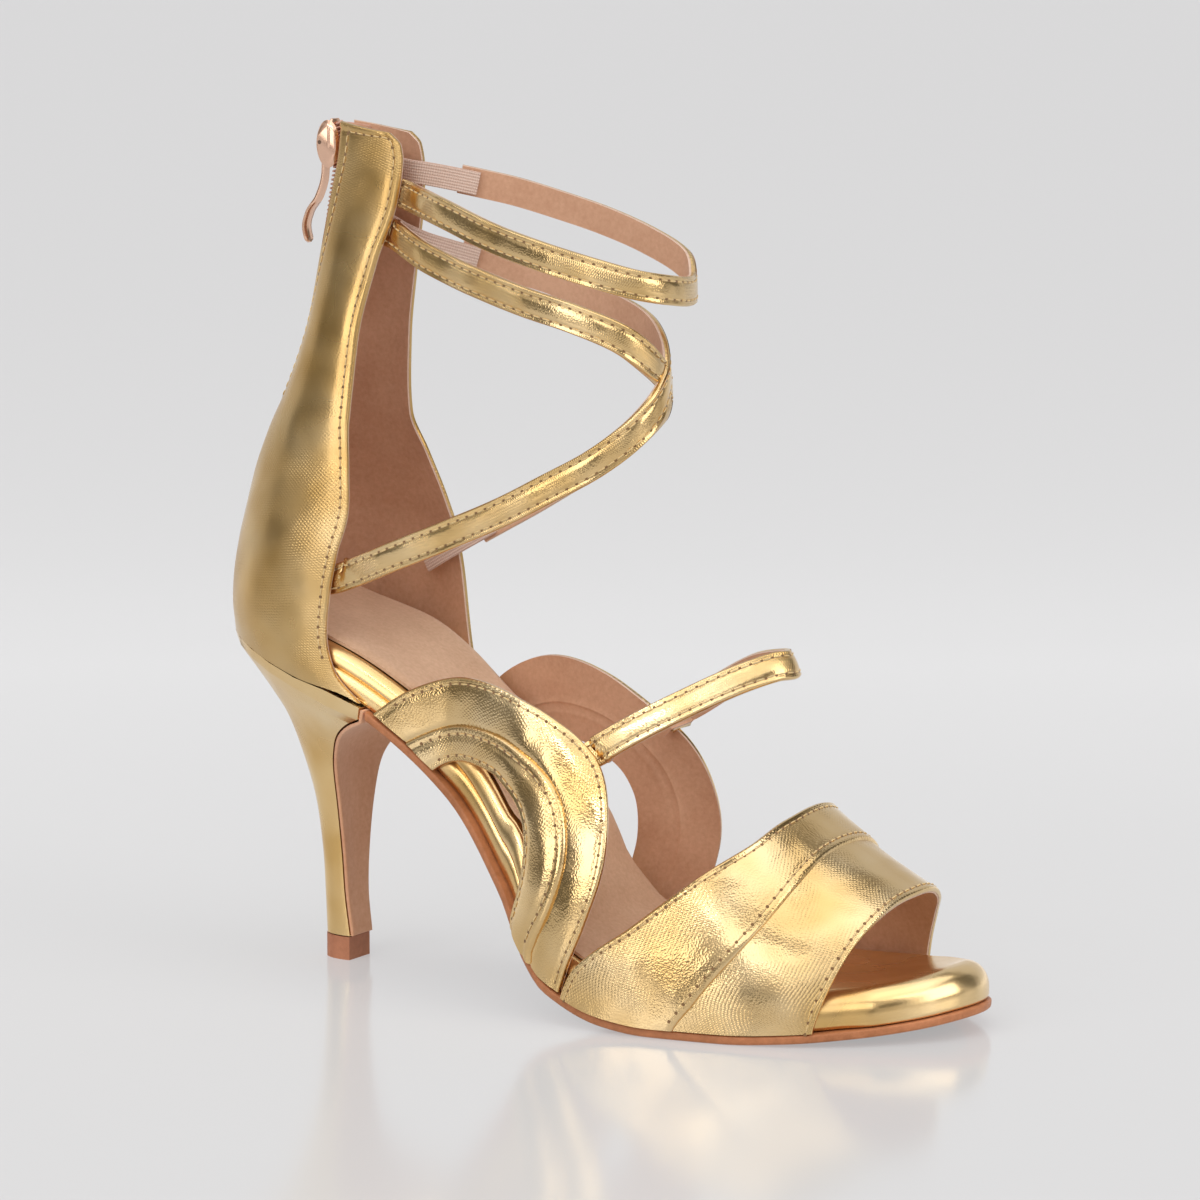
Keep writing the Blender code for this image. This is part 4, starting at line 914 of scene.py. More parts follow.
def sheet_object(name, sheet, materials, fold=0.42, cut_rows=()):
    """Mesh of a sheet: face, folded rim, pale edge and lining. Rows in cut_rows end bluntly."""
    rows, columns = sheet.face.shape[:2]
    rim = rim_places(rows, columns)
    layers = folded_rim(sheet, rim, fold, cut_rows)
    ring_count = len(layers) - 2
    lining_from, rings_from = rows * columns, 2 * rows * columns
    faces, slots = [], []
    for i in range(rows - 1):
        for j in range(columns - 1):
            k = i * columns + j
            cell = (k, k + 1, k + 1 + columns, k + columns)
            faces += [cell, tuple(lining_from + cell[turned] for turned in (0, 3, 2, 1))]
            slots += [0, 1]
    edge = [i * columns + j for i, j in rim]
    count = len(edge)
    loops = [edge]
    loops += [[rings_from + r * count + k for k in range(count)] for r in range(ring_count)]
    loops.append([lining_from + k for k in edge])
    for level, (upper, lower) in enumerate(zip(loops, loops[1:])):
        for k in range(count):
            m = (k + 1) % count
            faces.append((upper[k], upper[m], lower[m], lower[k]))
            slots.append(0 if level <= len(FOLD) else 2)
    mesh = mesh_of(name, np.vstack(layers).tolist(), faces, slots, *materials)
    along = sheet.along.mean(axis=1)
    flat = [(along[i], sheet.across[i, j]) for i in range(rows) for j in range(columns)]
    flat += flat + [flat[k] for k in edge] * ring_count
    layer = mesh.uv_layers.new(name="flat")
    for loop in mesh.loops:
        layer.data[loop.index].uv = flat[loop.vertex_index]
    return smooth_object(mesh, 50)

# %% [markdown]
# Every piece then goes through the same hands: it is shown, it rides on a body, and it stands for
# the solids whose place it takes. A real hide is never quite even, so each sheet also gets slow
# dents, always the same at the same place, and dips where a row of stitches pulls it down.

# %% Put a piece in its place, and make leather uneven
def put(piece, body, slot, *nodes):
    """Shows a piece, lets it ride on a body, and takes the place of its CAD nodes."""
    bpy.context.scene.collection.objects.link(piece)
    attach(piece, body)
    if nodes:
        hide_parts(*nodes)
    print(piece.name, "has", len(piece.data.polygons) if piece.type == "MESH" else "no", "faces")


def put_leather(name, sheet, foil, cut_rows, *nodes):
    """Shows a piece of the upper: foil outside, lining inside and a pale edge between them."""
    piece = sheet_object(name, sheet, [foil, lining, pale_edge], cut_rows=cut_rows)
    put(piece, "shoe", "gold_leather", *nodes)


def dent(point, scale, depth, seed):
    """Slow unevenness of hand made leather, always the same at the same place."""
    return depth * noise.noise(Vector(point) * scale + Vector((seed, 2.0 * seed, 3.0 * seed)))


def unevenness(sheet, *waves):
    """Dents all over a sheet, from waves of scale, depth and seed."""
    return np.array([[sum(dent(point, *wave) for wave in waves) for point in row]
                     for row in sheet.back])


def groove(distance, at, width=0.0006):
    """Dip of the leather where a row of stitches pulls it down."""
    return np.exp(-((distance - at) / width) ** 2)


# %% [markdown]
# ## Stitches
# A sewing machine leaves a row of short raised threads with a dark needle hole between each
# two. At this size a texture would blur, so each stitch is real: a bent thread a few tenths of
# a millimetre thick, and a small dimple at each end, coloured dark brown as painted shade in
# the hole. All stitches of a piece are one mesh.

# %% Sew along a path on a sheet
STITCH = 0.0029         # from one needle hole to the next
BACK_STITCH = 0.0026    # the same on the tall back
THREAD = 0.00020        # radius of the thread
THREAD_RISE = 0.00014   # its middle above the leather
THREAD_CORNERS = 6
BENDS = 6               # rings along one stitch
HOLE = 0.00046          # radius of a needle hole
HOLE_CORNERS = 8
Shape = namedtuple("Shape", "points faces slots")


def walk(spots):
    """Length of a line of points with normals, and a function that gives both at a distance."""
    reach = [0.0]
    for (before, _), (after, _) in zip(spots, spots[1:]):
        reach.append(reach[-1] + (after - before).length)

    def at(distance):
        k = min(max(int(np.searchsorted(reach, distance)) - 1, 0), len(spots) - 2)
        t = (distance - reach[k]) / max(reach[k + 1] - reach[k], 1e-9)
        (point, normal), (next_point, next_normal) = spots[k], spots[k + 1]
        return point.lerp(next_point, t), normal.lerp(next_normal, t).normalized()

    return reach[-1], at


def pierce(shape, point, normal, forward):
    """A needle hole: a dished disc, dark with painted shade, a hair above the leather."""
    side = normal.cross(forward).normalized()
    first = len(shape.points)
    shape.points.append(point + normal * 0.00003)
    for k in range(HOLE_CORNERS):
        turn = 2 * pi * k / HOLE_CORNERS
        spot = point + (forward * cos(turn) + side * sin(turn)) * HOLE
        shape.points.append(spot + normal * 0.00005)
        shape.faces.append((first, first + 1 + k, first + 1 + (k + 1) % HOLE_CORNERS))
        shape.slots.append(1)


def stitch(shape, at, length, n, step, forward):
    """One thread: it rises from a needle hole, bows over the leather and sinks into the next."""
    first = len(shape.points)
    for m in range(BENDS):
        share = m / (BENDS - 1)
        place, up = at((n + 0.10 + 0.80 * share) * step)
        ahead_point, _ = at(min((n + 0.12 + 0.80 * share) * step, length))
        way = ahead_point - place
        across = up.cross(way.normalized() if way.length > 1e-7 else forward).normalized()
        swell = (max(0.0, 1 - (2 * share - 1) ** 4)) ** 0.5
        rise = THREAD_RISE * (1 - (2 * share - 1) ** 2)
        for k in range(THREAD_CORNERS):
            turn = 2 * pi * k / THREAD_CORNERS
            ring_point = (across * cos(turn) + up * sin(turn)) * THREAD * max(swell, 0.25)
            shape.points.append(place + up * rise + ring_point)
    for m in range(BENDS - 1):
        ring = first + m * THREAD_CORNERS
        for k in range(THREAD_CORNERS):
            a, b = ring + k, ring + (k + 1) % THREAD_CORNERS
            shape.faces.append((a, b, b + THREAD_CORNERS, a + THREAD_CORNERS))
    last = first + (BENDS - 1) * THREAD_CORNERS
    shape.faces.append(tuple(first + k for k in reversed(range(THREAD_CORNERS))))
    shape.faces.append(tuple(last + k for k in range(THREAD_CORNERS)))
    shape.slots.extend([0] * ((BENDS - 1) * THREAD_CORNERS + 2))


def sew(name, sheet, paths, pitch=STITCH):
    """Stitches along paths of fractional grid places, as one object of threads and holes."""
    shape = Shape([], [], [])
    for path in paths:
        length, at = walk([sheet.on_face(row, column) for row, column in path])
        count = max(2, round(length / pitch))
        step = length / count
        for n in range(count + 1):
            point, normal = at(n * step)
            ahead_point, _ = at(min(n * step + 0.0003, length))
            behind, _ = at(max(n * step - 0.0003, 0.0))
            forward = (ahead_point - behind).normalized()
            pierce(shape, point, normal, forward)
            if n < count:
                stitch(shape, at, length, n, step, forward)
    mesh = mesh_of(name, *shape, thread, needle_hole_shade)
    mesh.shade_smooth()
    put(bpy.data.objects.new(name, mesh), "shoe", "gold_leather")


def beside_edge(sheet, distance, from_end=False, start=0.0, end=0.0):
    """Path along the sheet at a distance from its first or last column."""
    total = sheet.along[-1].mean()
    middle = sheet.along.mean(axis=1)
    return [(float(i), sheet.column_at(i, distance, from_end)) for i in range(len(middle))
            if start <= middle[i] <= total - end]


def beside_column(sheet, column, distance, rows):
    """Path along the sheet at a distance past one of its columns."""
    return [(float(i), sheet.column_at(i, sheet.across[i, column] + distance)) for i in rows]

# %% [markdown]
# ## The sole, layer by layer
# From below: a tan outsole about two millimetres thick, a flat gold strip, a dark groove, and a
# rounded gold roll round the footbed. Each layer is a closed loft through cross sections that
# follow the sole's outline, because the outline and the arch change all the way along.

# %% Loft the outsole and the gold footbed
def loft_object(name, rings, bands, *materials, mirrored=True):
    """Closed solid through rings of points. bands gives the material for each step round a ring."""
    count = len(rings[0])
    faces, slots = [], []
    for start in range(0, (len(rings) - 1) * count, count):
        for k in range(count):
            m = (k + 1) % count
            faces.append((start + k, start + m, start + count + m, start + count + k))
            slots.append(bands[k])
    for first in (0, (len(rings) - 1) * count):
        if mirrored:
            faces += [(first + k, first + count - 1 - k, first + count - 2 - k, first + k + 1)
                      for k in range(count // 2 - 1)]
        else:
            faces.append(tuple(range(first, first + count)))
    slots += [bands[0]] * (len(faces) - len(slots))
    points = [point for ring in rings for point in ring]
    return smooth_object(mesh_of(name, points, faces, slots, *materials), 60)


def rounded(corners, radius, steps=3):
    """Profile of inset and height with each inner corner rounded."""
    points = [corners[0]]
    for before, here, after in zip(corners, corners[1:], corners[2:]):
        back = Vector(before) - Vector(here)
        on = Vector(after) - Vector(here)
        trim = min(radius, back.length * 0.45, on.length * 0.45)
        start = Vector(here) + back.normalized() * trim
        end = Vector(here) + on.normalized() * trim
        for k in range(steps + 1):
            t = k / steps
            points.append(tuple(start * (1 - t) ** 2 + Vector(here) * 2 * t * (1 - t) + end * t * t))
    return points + [corners[-1]]


STATION_TURNS = [k / 150 for k in range(1, 150)]


def sole_rings(start, end, profile):
    """Cross sections of a layer; profile gives rows of inset and height at a share of the length."""
    first, last = turning(start), turning(end)
    rings = []
    between = [turn for turn in STATION_TURNS if first + 0.002 < turn < last - 0.002]
    for turn in [first] + between + [last]:
        along = (1 - cos(pi * turn)) / 2
        x = sole_x(along)
        outer, inner = [], []
        for inset, height in profile(along):
            z = sole_z(x, height)
            for side, row in ((OUTER, outer), (INNER, inner)):
                row.append(sole_edge(side, along, inset).to_3d() + Vector((0, 0, z)))
        rings.append(outer + inner[::-1])
    return rings


END = 0.0001            # share of the sole's length cut off at a layer's blunt end
TREAD = rounded([(0.006, 0.0), (0.0002, 0.0), (0.0, OUTSOLE), (0.004, OUTSOLE)], 0.0007)
tread_rings = sole_rings(sole_along(OUTSOLE_BACK), 1 - END, lambda along: TREAD)
tread_bands = [0] * (2 * len(TREAD) - 1) + [1]
put(loft_object("outsole_leather", tread_rings, tread_bands, tan_edge, sole_suede),
    "shoe", "tan_leather", "outsole")


def footbed_profile(along):
    """Flat strip, stitched groove and roll, which become one round edge under the toes."""
    toe = min(max((along - TOE_BLEND_START) / TOE_BLEND, 0.0), 1.0)
    base = support(sole_x(along)) + 1.4 * GAP
    seam = OUTSOLE + GAP + INSOLE_LOWER
    depth = 0.0010 * (1 - toe)
    start = seam + 0.0009 - 0.0026 * toe
    reach = 0.0028 + TOE_SOFTNESS * toe
    rows = [(0.003, base), (0.0003, base), (0.0001, OUTSOLE + 0.0009), (0.0, seam - 0.0034)]
    rows += [(0.0, seam - 0.0010 - 0.0020 * toe), (0.4 * depth, seam - 0.0002 - 0.0022 * toe),
             (depth, seam + 0.0001 - 0.0023 * toe), (0.5 * depth, seam + 0.0005 - 0.0025 * toe)]
    rows += [(reach * (1 - cos(t)), start + (seam + INSOLE_UPPER - start) * sin(t))
             for t in np.linspace(0.0, pi / 2, 11)]
    return [(insole_inset(along) + inset, height) for inset, height in rows]


footbed_rings = sole_rings(END, 1 - END, footbed_profile)
put(loft_object("footbed_gold", footbed_rings, [0] * len(footbed_rings[0]), gold_smooth),
    "shoe", "gold_leather", "insole")

# %% [markdown]
# ## The sock lining
# A beige suede sock lies on the footbed from the heel to under the toe piece, with a soft ridge
# where the heel pad underneath ends. The ridge is a low swell of the suede.

# %% Lay the sock
SOCK_LOW = INSOLE_TOP + 2 * GAP
SOCK_ROWS = 110
SOCK_COLUMNS = 24
PAD_END = 0.335         # share of the sole's length where the heel pad ends
PAD_RIDGE = 0.0006


def sock_row(along):
    """Points across the sock: thin at its rim, with the ridge of the heel pad."""
    x = sole_x(along)
    ends = [sole_edge(side, along, INSOLE_INSET + SOCK_INSET) for side in (OUTER, INNER)]
    row = []
    for share in np.linspace(0, 1, SOCK_COLUMNS + 1):
        edge = min(share, 1 - share)
        spot = ends[0].lerp(ends[1], float(share))
        ridge = PAD_RIDGE * np.exp(-((along - PAD_END - 0.9 * (edge - 0.5) ** 2 * 0.12) / 0.010) ** 2)
        cup = SOCK * (0.45 + 0.55 * min(1.0, edge / 0.03)) + ridge * min(1.0, edge / 0.12)
        row.append((spot.x, spot.y, sole_z(x, SOCK_LOW + cup)))
    return row


def sock_object():
    bm = bmesh.new()
    first, last = turning(0.0006), turning(SOCK_END)
    rows = [sock_row((1 - cos(pi * (first + (last - first) * n / SOCK_ROWS))) / 2)
            for n in range(SOCK_ROWS + 1)]
    bridge(bm, [[bm.verts.new(point) for point in row] for row in rows], closed=False)
    rim = [e for e in bm.edges if e.is_boundary]
    skirt = bmesh.ops.extrude_edge_only(bm, edges=rim)["geom"]
    for vert in [g for g in skirt if isinstance(g, bmesh.types.BMVert)]:
        vert.co.z -= SOCK * 0.9
    mesh = bpy.data.meshes.new("sock")
    mesh.materials.append(sock_suede)
    return smooth_object(mesh, 60, bm)


put(sock_object(), "shoe", "beige_suede", "sock_lining")

# %% [markdown]
# ## The heel
# The heel is a plastic core wrapped in smooth gold leather: round at the back, hollow in front,
# and slender down to the tip. Rings between the table's rows are read from a cubic, so that the
# long curves reflect in one clean streak. Brown suede lines the front, and a tan tip takes the
# floor.

# %% Wrap the heel
def seat_share(turn):
    """Share of the sole's length at a turn round the seat, 0 at the back, 1 at the front face."""
    return sole_along(BREAST_X) * (1 - cos(turn * pi / 2))


def heel_section(row):
    """Ring of a heel section: outer corner, round the back, inner corner, front face."""
    rear = row.rear * SEAT_LENGTH - HEEL_SETBACK
    front = row.front * SEAT_LENGTH - HEEL_SETBACK
    points = []
    for side in (OUTER, INNER):
        curve = []
        for k in range(SEAT_POINTS + 1):
            share = seat_share(k / SEAT_POINTS)
            forward = share / sole_along(BREAST_X)
            x = rear + (front - rear) * forward
            y = side * half_width(side, share) * row.spread
            z = (row.rear_height + (row.front_height - row.rear_height) * forward) * HEEL_HEIGHT
            curve.append(Vector((x, y, z)))
        points += curve[::-1] if side == OUTER else curve[1:]
    start, end = points[-1], points[0]
    for k in range(1, BREAST_POINTS):
        t = k / BREAST_POINTS
        point = start.lerp(end, t)
        point.x -= row.hollow * SEAT_LENGTH * (1 - (2 * t - 1) ** 2)
        points.append(point)
    return points


def seated(ring):
    """Lays a ring under the insole and the back walls."""
    return [Vector((p.x, p.y, sole_z(p.x, support(p.x)) - GAP / 3)) for p in ring]


def heel_row(at):
    """One section of the heel between the table's rows."""
    rows = list(range(len(HEEL)))
    return Section(*[cubic(rows, [getattr(row, column) for row in HEEL], at, False)
                     for column in Section._fields])


heel_rings = [heel_section(heel_row(at)) for at in np.linspace(0, len(HEEL) - 1, 65)]
heel_rings[0] = seated(heel_rings[0])
put(loft_object("heel_wrap", heel_rings, [0] * len(heel_rings[0]), gold_smooth, mirrored=False),
    "shoe", "gold_leather", "heel")


def breast_grid():
    """Lining grid of the flap on the heel's front, a little off the heel and shorter than it."""
    grid = []
    for n, ring in enumerate(heel_rings):
        front = [ring[0]] + ring[:-BREAST_POINTS:-1] + [ring[2 * SEAT_POINTS]]
        clear = Vector((1.2 * GAP, 0, -1.6 * GAP * (1 - n / (len(heel_rings) - 1))))
        grid.append([point + clear for point in front])
    return grid


BREAST_SUEDE = 0.0009   # the cover's thickness, less its nap
breast = Sheet(breast_grid(), 1)
breast.thicken(np.full(breast.back.shape[:2], BREAST_SUEDE))
put(sheet_object("heel_front_suede", breast, [brown_suede] * 3, 0.5),
    "shoe", "brown_leather", "heel_breast_cover")

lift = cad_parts["top_lift"]
lift.data.materials.clear()
lift.data.materials.append(tip_tan)
soften = lift.modifiers.new("worn edge", "BEVEL")
soften.width = 0.0004
soften.segments = 3
soften.limit_method = "ANGLE"
soften.angle_limit = radians(40)

# %% [markdown]
# ## The two back walls
# The tall back is two mirrored pieces that meet in a seam at the heel and part for the zip.
# Each is a turned and folded sheet, lined with suede, and stitched two millimetres inside its
# top and front edges and beside the zip. The wall is cut from the same surface as the solid,
# with slow hand made unevenness, so that its big reflections bend.

# %% Shape the back walls
def quarter_edge(side, turn):
    """Lining side of the seat's outline at a turn from the back to the front edge."""
    column = "outer_front" if side == OUTER else "inner_front"
    end = sole_along(getattr(QUARTER[0], column) * SEAT_LENGTH - HEEL_SETBACK)
    return sole_edge(side, end * (1 - cos(turn * pi / 2)), WALL)


def shaft_x(column, level):
    """Place along the shoe of the back wall's back or front edge."""
    return read(QUARTER, column, level) * SEAT_LENGTH - HEEL_SETBACK


def quarter_point(side, level, turn, inward=0.0):
    """Point of the lining side of the back wall, or further inside it."""
    start, end = quarter_edge(side, 0), quarter_edge(side, 1)
    here = quarter_edge(side, turn)
    forward = (here.x - start.x) / (end.x - start.x)
    name = "outer" if side == OUTER else "inner"
    back, front = shaft_x("back", level), shaft_x(name + "_front", level)
    front_up = read(QUARTER, name + "_up", level)
    z = HEEL_HEIGHT + SHAFT_HEIGHT * (level + (front_up - level) * forward)
    y = side * read(QUARTER, "spread", level) * abs(here.y)
    flat_base = HEEL_HEIGHT + SHAFT_HEIGHT * getattr(QUARTER[0], name + "_up") * forward
    z += (sole_top(here.x) + GAP - flat_base) * (1 - level) ** 6
    point = Vector((back + (front - back) * forward, y, z))
    if inward:
        step = 0.02
        run = quarter_point(side, level, min(turn + step, 1)) - quarter_point(side, level, turn - step)
        rise = quarter_point(side, min(level + step, 1), turn) - quarter_point(side, level - step, turn)
        normal = run.cross(rise).normalized()
        point += normal * inward * (1 if normal.y * side < 0 else -1)
    return point


def turn_at_width(side, level, width):
    """Turn at which the back wall stands a given distance off the centre line."""
    low, high = 0.0, 1.0
    for _ in range(30):
        middle = (low + high) / 2
        if abs(quarter_point(side, level, middle).y) < width:
            low = middle
        else:
            high = middle
    return high


def half_slot(level):
    """Half the gap between the two back walls: a closed seam, then the zip's slot."""
    t = min(max((level - ZIP_BOTTOM + 0.03) / 0.04, 0.0), 1.0)
    return GAP / 2 + (ZIP_HALF_GAP - GAP / 2) * t * t * (3 - 2 * t)


WALL_COLUMNS = 30
RIM_INSET = 0.0021      # stitches inside the top and front edges
ZIP_INSET = 0.0030      # and beside the zip


def back_wall(side, name):
    levels = np.concatenate([np.linspace(0.0, ZIP_BOTTOM - 0.03, 36),
                             np.linspace(ZIP_BOTTOM - 0.024, 0.91, 52),
                             np.linspace(0.917, 1.0, 24)])
    grid = []
    for level in levels:
        start = turn_at_width(side, float(level), half_slot(float(level)))
        grid.append([quarter_point(side, float(level), start + (1 - start) * (k / WALL_COLUMNS) ** 1.15)
                     for k in range(WALL_COLUMNS + 1)])
    wall = Sheet(grid, side)
    zip_side, front, low, high = wall.margins()
    slot = np.clip((levels - ZIP_BOTTOM) / 0.02, 0, 1)[:, None]
    dips = 0.00022 * groove(front, RIM_INSET) + 0.00022 * groove(high, RIM_INSET) * (front > 0.002)
    dips += 0.00018 * groove(zip_side, ZIP_INSET) * slot
    edge = np.minimum(np.minimum(front, high), np.where(slot > 0.5, zip_side, 1.0))
    swell = 0.00013 * np.exp(-((edge - 0.0009) / 0.0008) ** 2)
    slow = unevenness(wall, (34.0, 0.00042, 3.0 + side), (90.0, 0.00012, 9.0))
    fade = np.clip(edge / 0.012, 0, 1) * np.clip(low / 0.010, 0, 1)
    wall.thicken(WALL + swell - dips + slow * fade)
    put_leather(name + "_leather", wall, gold_wall, (0,), name)
    top_row = wall.row_at(20, RIM_INSET, True)
    front_path = [(float(i), wall.column_at(i, RIM_INSET, True)) for i in range(6, int(top_row) + 1)]
    zip_end = wall.column_at(len(levels) - 1, ZIP_INSET)
    top_path = [(top_row, float(c)) for c in np.linspace(front_path[-1][1], zip_end + 0.6, 24)]
    sew(name + "_rim_stitches", wall, [front_path + top_path[1:]], BACK_STITCH)
    beside_zip = [(float(i), wall.column_at(i, ZIP_INSET)) for i in range(38, int(top_row))]
    sew(name + "_zip_stitches", wall, [beside_zip], BACK_STITCH)


back_wall(OUTER, "quarter_outer")
back_wall(INNER, "quarter_inner")

# %% [markdown]
# ## The looped side bands
# On each side of the arch a band rises from the waist of the sole, loops over and comes down
# beside the ball. It is two bands in one: the outer is flat, and the inner lies raised on it,
# along the cut-out. The raised one's step is in the sheet's thickness.

# %% Shape the side bands
BAND_STEPS = 120
FLAT_COLUMNS = 13
STEP_COLUMNS = 4
RAISED_COLUMNS = 14
STEP_RUN = 0.035        # share of the band's width over which its step rises
BAND_INSET = 0.0017     # stitches inside both edges
RAISED_INSET = 0.0015   # and inside the raised band's step


def band_along(side, along):
    """Place along a side band: the inner one is shifted and shorter."""
    start = SIDE_BAND[0].edge_along
    return along if side == OUTER else start + INNER_BAND_SHIFT + (along - start) * INNER_BAND_SCALE


def band_shares(seam_share):
    """Columns of a band as shares of its width: flat part, step and raised part."""
    flat_part = [seam_share * k / FLAT_COLUMNS for k in range(FLAT_COLUMNS)]
    step_part = [seam_share + STEP_RUN * k / STEP_COLUMNS for k in range(STEP_COLUMNS)]
    start = seam_share + STEP_RUN
    return flat_part + step_part + [start + (1 - start) * k / RAISED_COLUMNS
                                    for k in range(RAISED_COLUMNS + 1)]


def band_spot(side, at, column):
    """Where a column of a side band is at a station: along the sole, its height, and its foot's."""
    stations = list(range(len(SIDE_BAND)))
    edge_along, edge_up, cut_along, cut_up, seam_share = [
        cubic(stations, [getattr(row, name) for row in SIDE_BAND], at, False) for name in Band._fields]
    share = band_shares(seam_share)[column]
    x = sole_x(band_along(side, edge_along + (cut_along - edge_along) * share))
    return x, (edge_up + (cut_up - edge_up) * share) * HEEL_HEIGHT, sole_top(x) + FOOT_GAP


def foot_station(side, column, end):
    """Station between an end of the band and its middle where a column leaves the sole."""
    low, high = end, (len(SIDE_BAND) - 1) / 2
    x, z, foot = band_spot(side, low, column)
    if z >= foot:
        return low
    for _ in range(16):
        middle = (low + high) / 2
        x, z, foot = band_spot(side, middle, column)
        low, high = (middle, high) if z < foot else (low, middle)
    return high


def side_band_points(side):
    """Lining grid of a side band: every column runs from the sole up, over and down to the sole."""
    lines = []
    for column in range(len(band_shares(0.5))):
        start = foot_station(side, column, 0.0)
        end = foot_station(side, column, len(SIDE_BAND) - 1.0)
        line = []
        for k in range(BAND_STEPS + 1):
            x, z, foot = band_spot(side, start + (end - start) * k / BAND_STEPS, column)
            line.append(last_edge(side, x, foot if k in (0, BAND_STEPS) else max(z, foot)))
        lines.append(line)
    return list(zip(*lines))


def puffed(near, far):
    """Round swell of the leather between two lines, from the distances to them."""
    return np.clip(np.sin(pi * np.clip(near / (near + far + 1e-6), 0, 1)), 0, 1)


def looped_band(side, name):
    band = Sheet(side_band_points(side), side)
    rim, cut, _, _ = band.margins()
    rows, columns = band.back.shape[:2]
    step_at = FLAT_COLUMNS + STEP_COLUMNS
    rise = np.zeros(columns)
    rise[FLAT_COLUMNS:step_at] = [RAISED * (1 - (1 - k / STEP_COLUMNS) ** 2) ** 0.5
                                  for k in range(STEP_COLUMNS)]
    rise[step_at:] = RAISED
    beyond = band.across - band.across[:, step_at:step_at + 1]
    before = band.across[:, FLAT_COLUMNS:FLAT_COLUMNS + 1] - band.across
    dips = 0.0002 * groove(rim, BAND_INSET) + 0.0002 * groove(cut, BAND_INSET)
    dips += 0.0002 * groove(beyond, RAISED_INSET)
    puff = 0.00030 * puffed(beyond, cut) * (beyond > 0) + 0.00025 * puffed(rim, before) * (before > 0)
    slow = unevenness(band, (60.0, 0.00030, 5.0 + side))
    fade = np.clip(np.minimum(rim, cut) / 0.006, 0, 1)
    ridges = groove(beyond, -0.0006, 0.0004) + groove(beyond, 0.0022, 0.0004)
    band.back -= band.normal * (0.00028 * ridges)[..., None]
    band.thicken(WALL + rise[None, :] - dips + puff + slow * fade)
    put_leather(name + "_leather", band, gold, (0, -1), name)
    sew(name + "_stitches", band, [beside_edge(band, BAND_INSET, False, 0.004, 0.003),
                                   beside_edge(band, BAND_INSET, True, 0.006, 0.003),
                                   beside_column(band, step_at, RAISED_INSET, range(4, rows - 3))])


looped_band(OUTER, "side_loop_outer")
looped_band(INNER, "side_loop_inner")

# %% [markdown]
# ## The toe piece
# One broad arch spans the ball of the foot. Its rear half lies over the front half, so a seam
# with a row of stitches behind it crosses the arch, and the toes show in front of it.

# %% Shape the toe piece
def arch_point(around, along):
    """Lining side of the toe piece: a round arch over the sole, its crest towards the big toe."""
    x = sole_x(along)
    outer = half_width(OUTER, along) - WALL
    inner = half_width(INNER, along) - WALL
    crest_y = (inner - outer) / 2 + 0.1 * (inner + outer)
    reach = outer + crest_y if around < 0.5 else inner - crest_y
    angle = pi * around
    power = 2 / ROUNDNESS
    across = abs(cos(angle)) ** power * (-1 if around < 0.5 else 1)
    height = read(CREST, "height", along) * INSTEP_HEIGHT
    return Vector((x, crest_y + reach * across, sole_top(x) + height * sin(angle) ** power))


ARCH_STEPS = 120
REAR_COLUMNS = 18
FRONT_COLUMNS = 16
SEAM_RISES = [0.97, 0.8, 0.45]    # how the rear half's edge comes down over the seam
SEAM_RUN = 0.003                  # share of the sole's length for that
TOE_EDGE_INSET = 0.0018           # stitches inside both edges
SEAM_INSET = 0.0016               # and behind the seam


def toe_row(step):
    """Points across the toe piece at one step round the arch, from its rear edge to its front."""
    around = step / ARCH_STEPS - 0.08 * sin(2 * pi * step / ARCH_STEPS)
    rear, seam_at, front = [read(VAMP, column, around, False) for column in ("rear", "seam", "front")]
    step_from = seam_at - SEAM_RUN
    places = [rear + (step_from - rear) * j / REAR_COLUMNS for j in range(REAR_COLUMNS)]
    places += [step_from + SEAM_RUN * j / 3 for j in range(3)]
    places += [seam_at + (front - seam_at) * j / FRONT_COLUMNS for j in range(FRONT_COLUMNS + 1)]
    return [arch_point(around, along) for along in places]


def bead(distance):
    """Swell of a turned edge."""
    return np.exp(-((distance - 0.0008) / 0.0008) ** 2)


def toe_piece():
    arch = Sheet([toe_row(step) for step in range(ARCH_STEPS + 1)], -1)
    rear_edge, front_edge, _, _ = arch.margins()
    rise = np.zeros(arch.back.shape[1])
    rise[:REAR_COLUMNS] = RAISED
    rise[REAR_COLUMNS:REAR_COLUMNS + 3] = [RAISED * share for share in SEAM_RISES]
    past_seam = arch.across - arch.across[:, REAR_COLUMNS:REAR_COLUMNS + 1]
    dips = 0.0002 * (groove(rear_edge, TOE_EDGE_INSET) + groove(front_edge, TOE_EDGE_INSET)
                     + groove(-past_seam, SEAM_INSET))
    puff = 0.00025 * (bead(rear_edge) + bead(front_edge))
    slow = unevenness(arch, (40.0, 0.00055, 12.0), (110.0, 0.00012, 15.0))
    fade = np.clip(np.minimum(rear_edge, front_edge) / 0.008, 0, 1)
    arch.thicken(WALL + rise[None, :] - dips + puff + slow * fade)
    put_leather("toe_piece_leather", arch, gold, (0, -1), "vamp")
    sew("toe_piece_stitches", arch, [beside_edge(arch, TOE_EDGE_INSET),
                                     beside_edge(arch, TOE_EDGE_INSET, True),
                                     beside_column(arch, REAR_COLUMNS, -SEAM_INSET,
                                                   range(2, ARCH_STEPS - 1))])


toe_piece()

# %% [markdown]
# ## The straps
# Each strap is a folded gold ribbon about seven millimetres wide, stitched along both edges. Its
# places are in a table of points on its centre line, each with a lean. Where a strap meets the
# back wall it is tucked inside, and three short elastics carry it on the inner side.

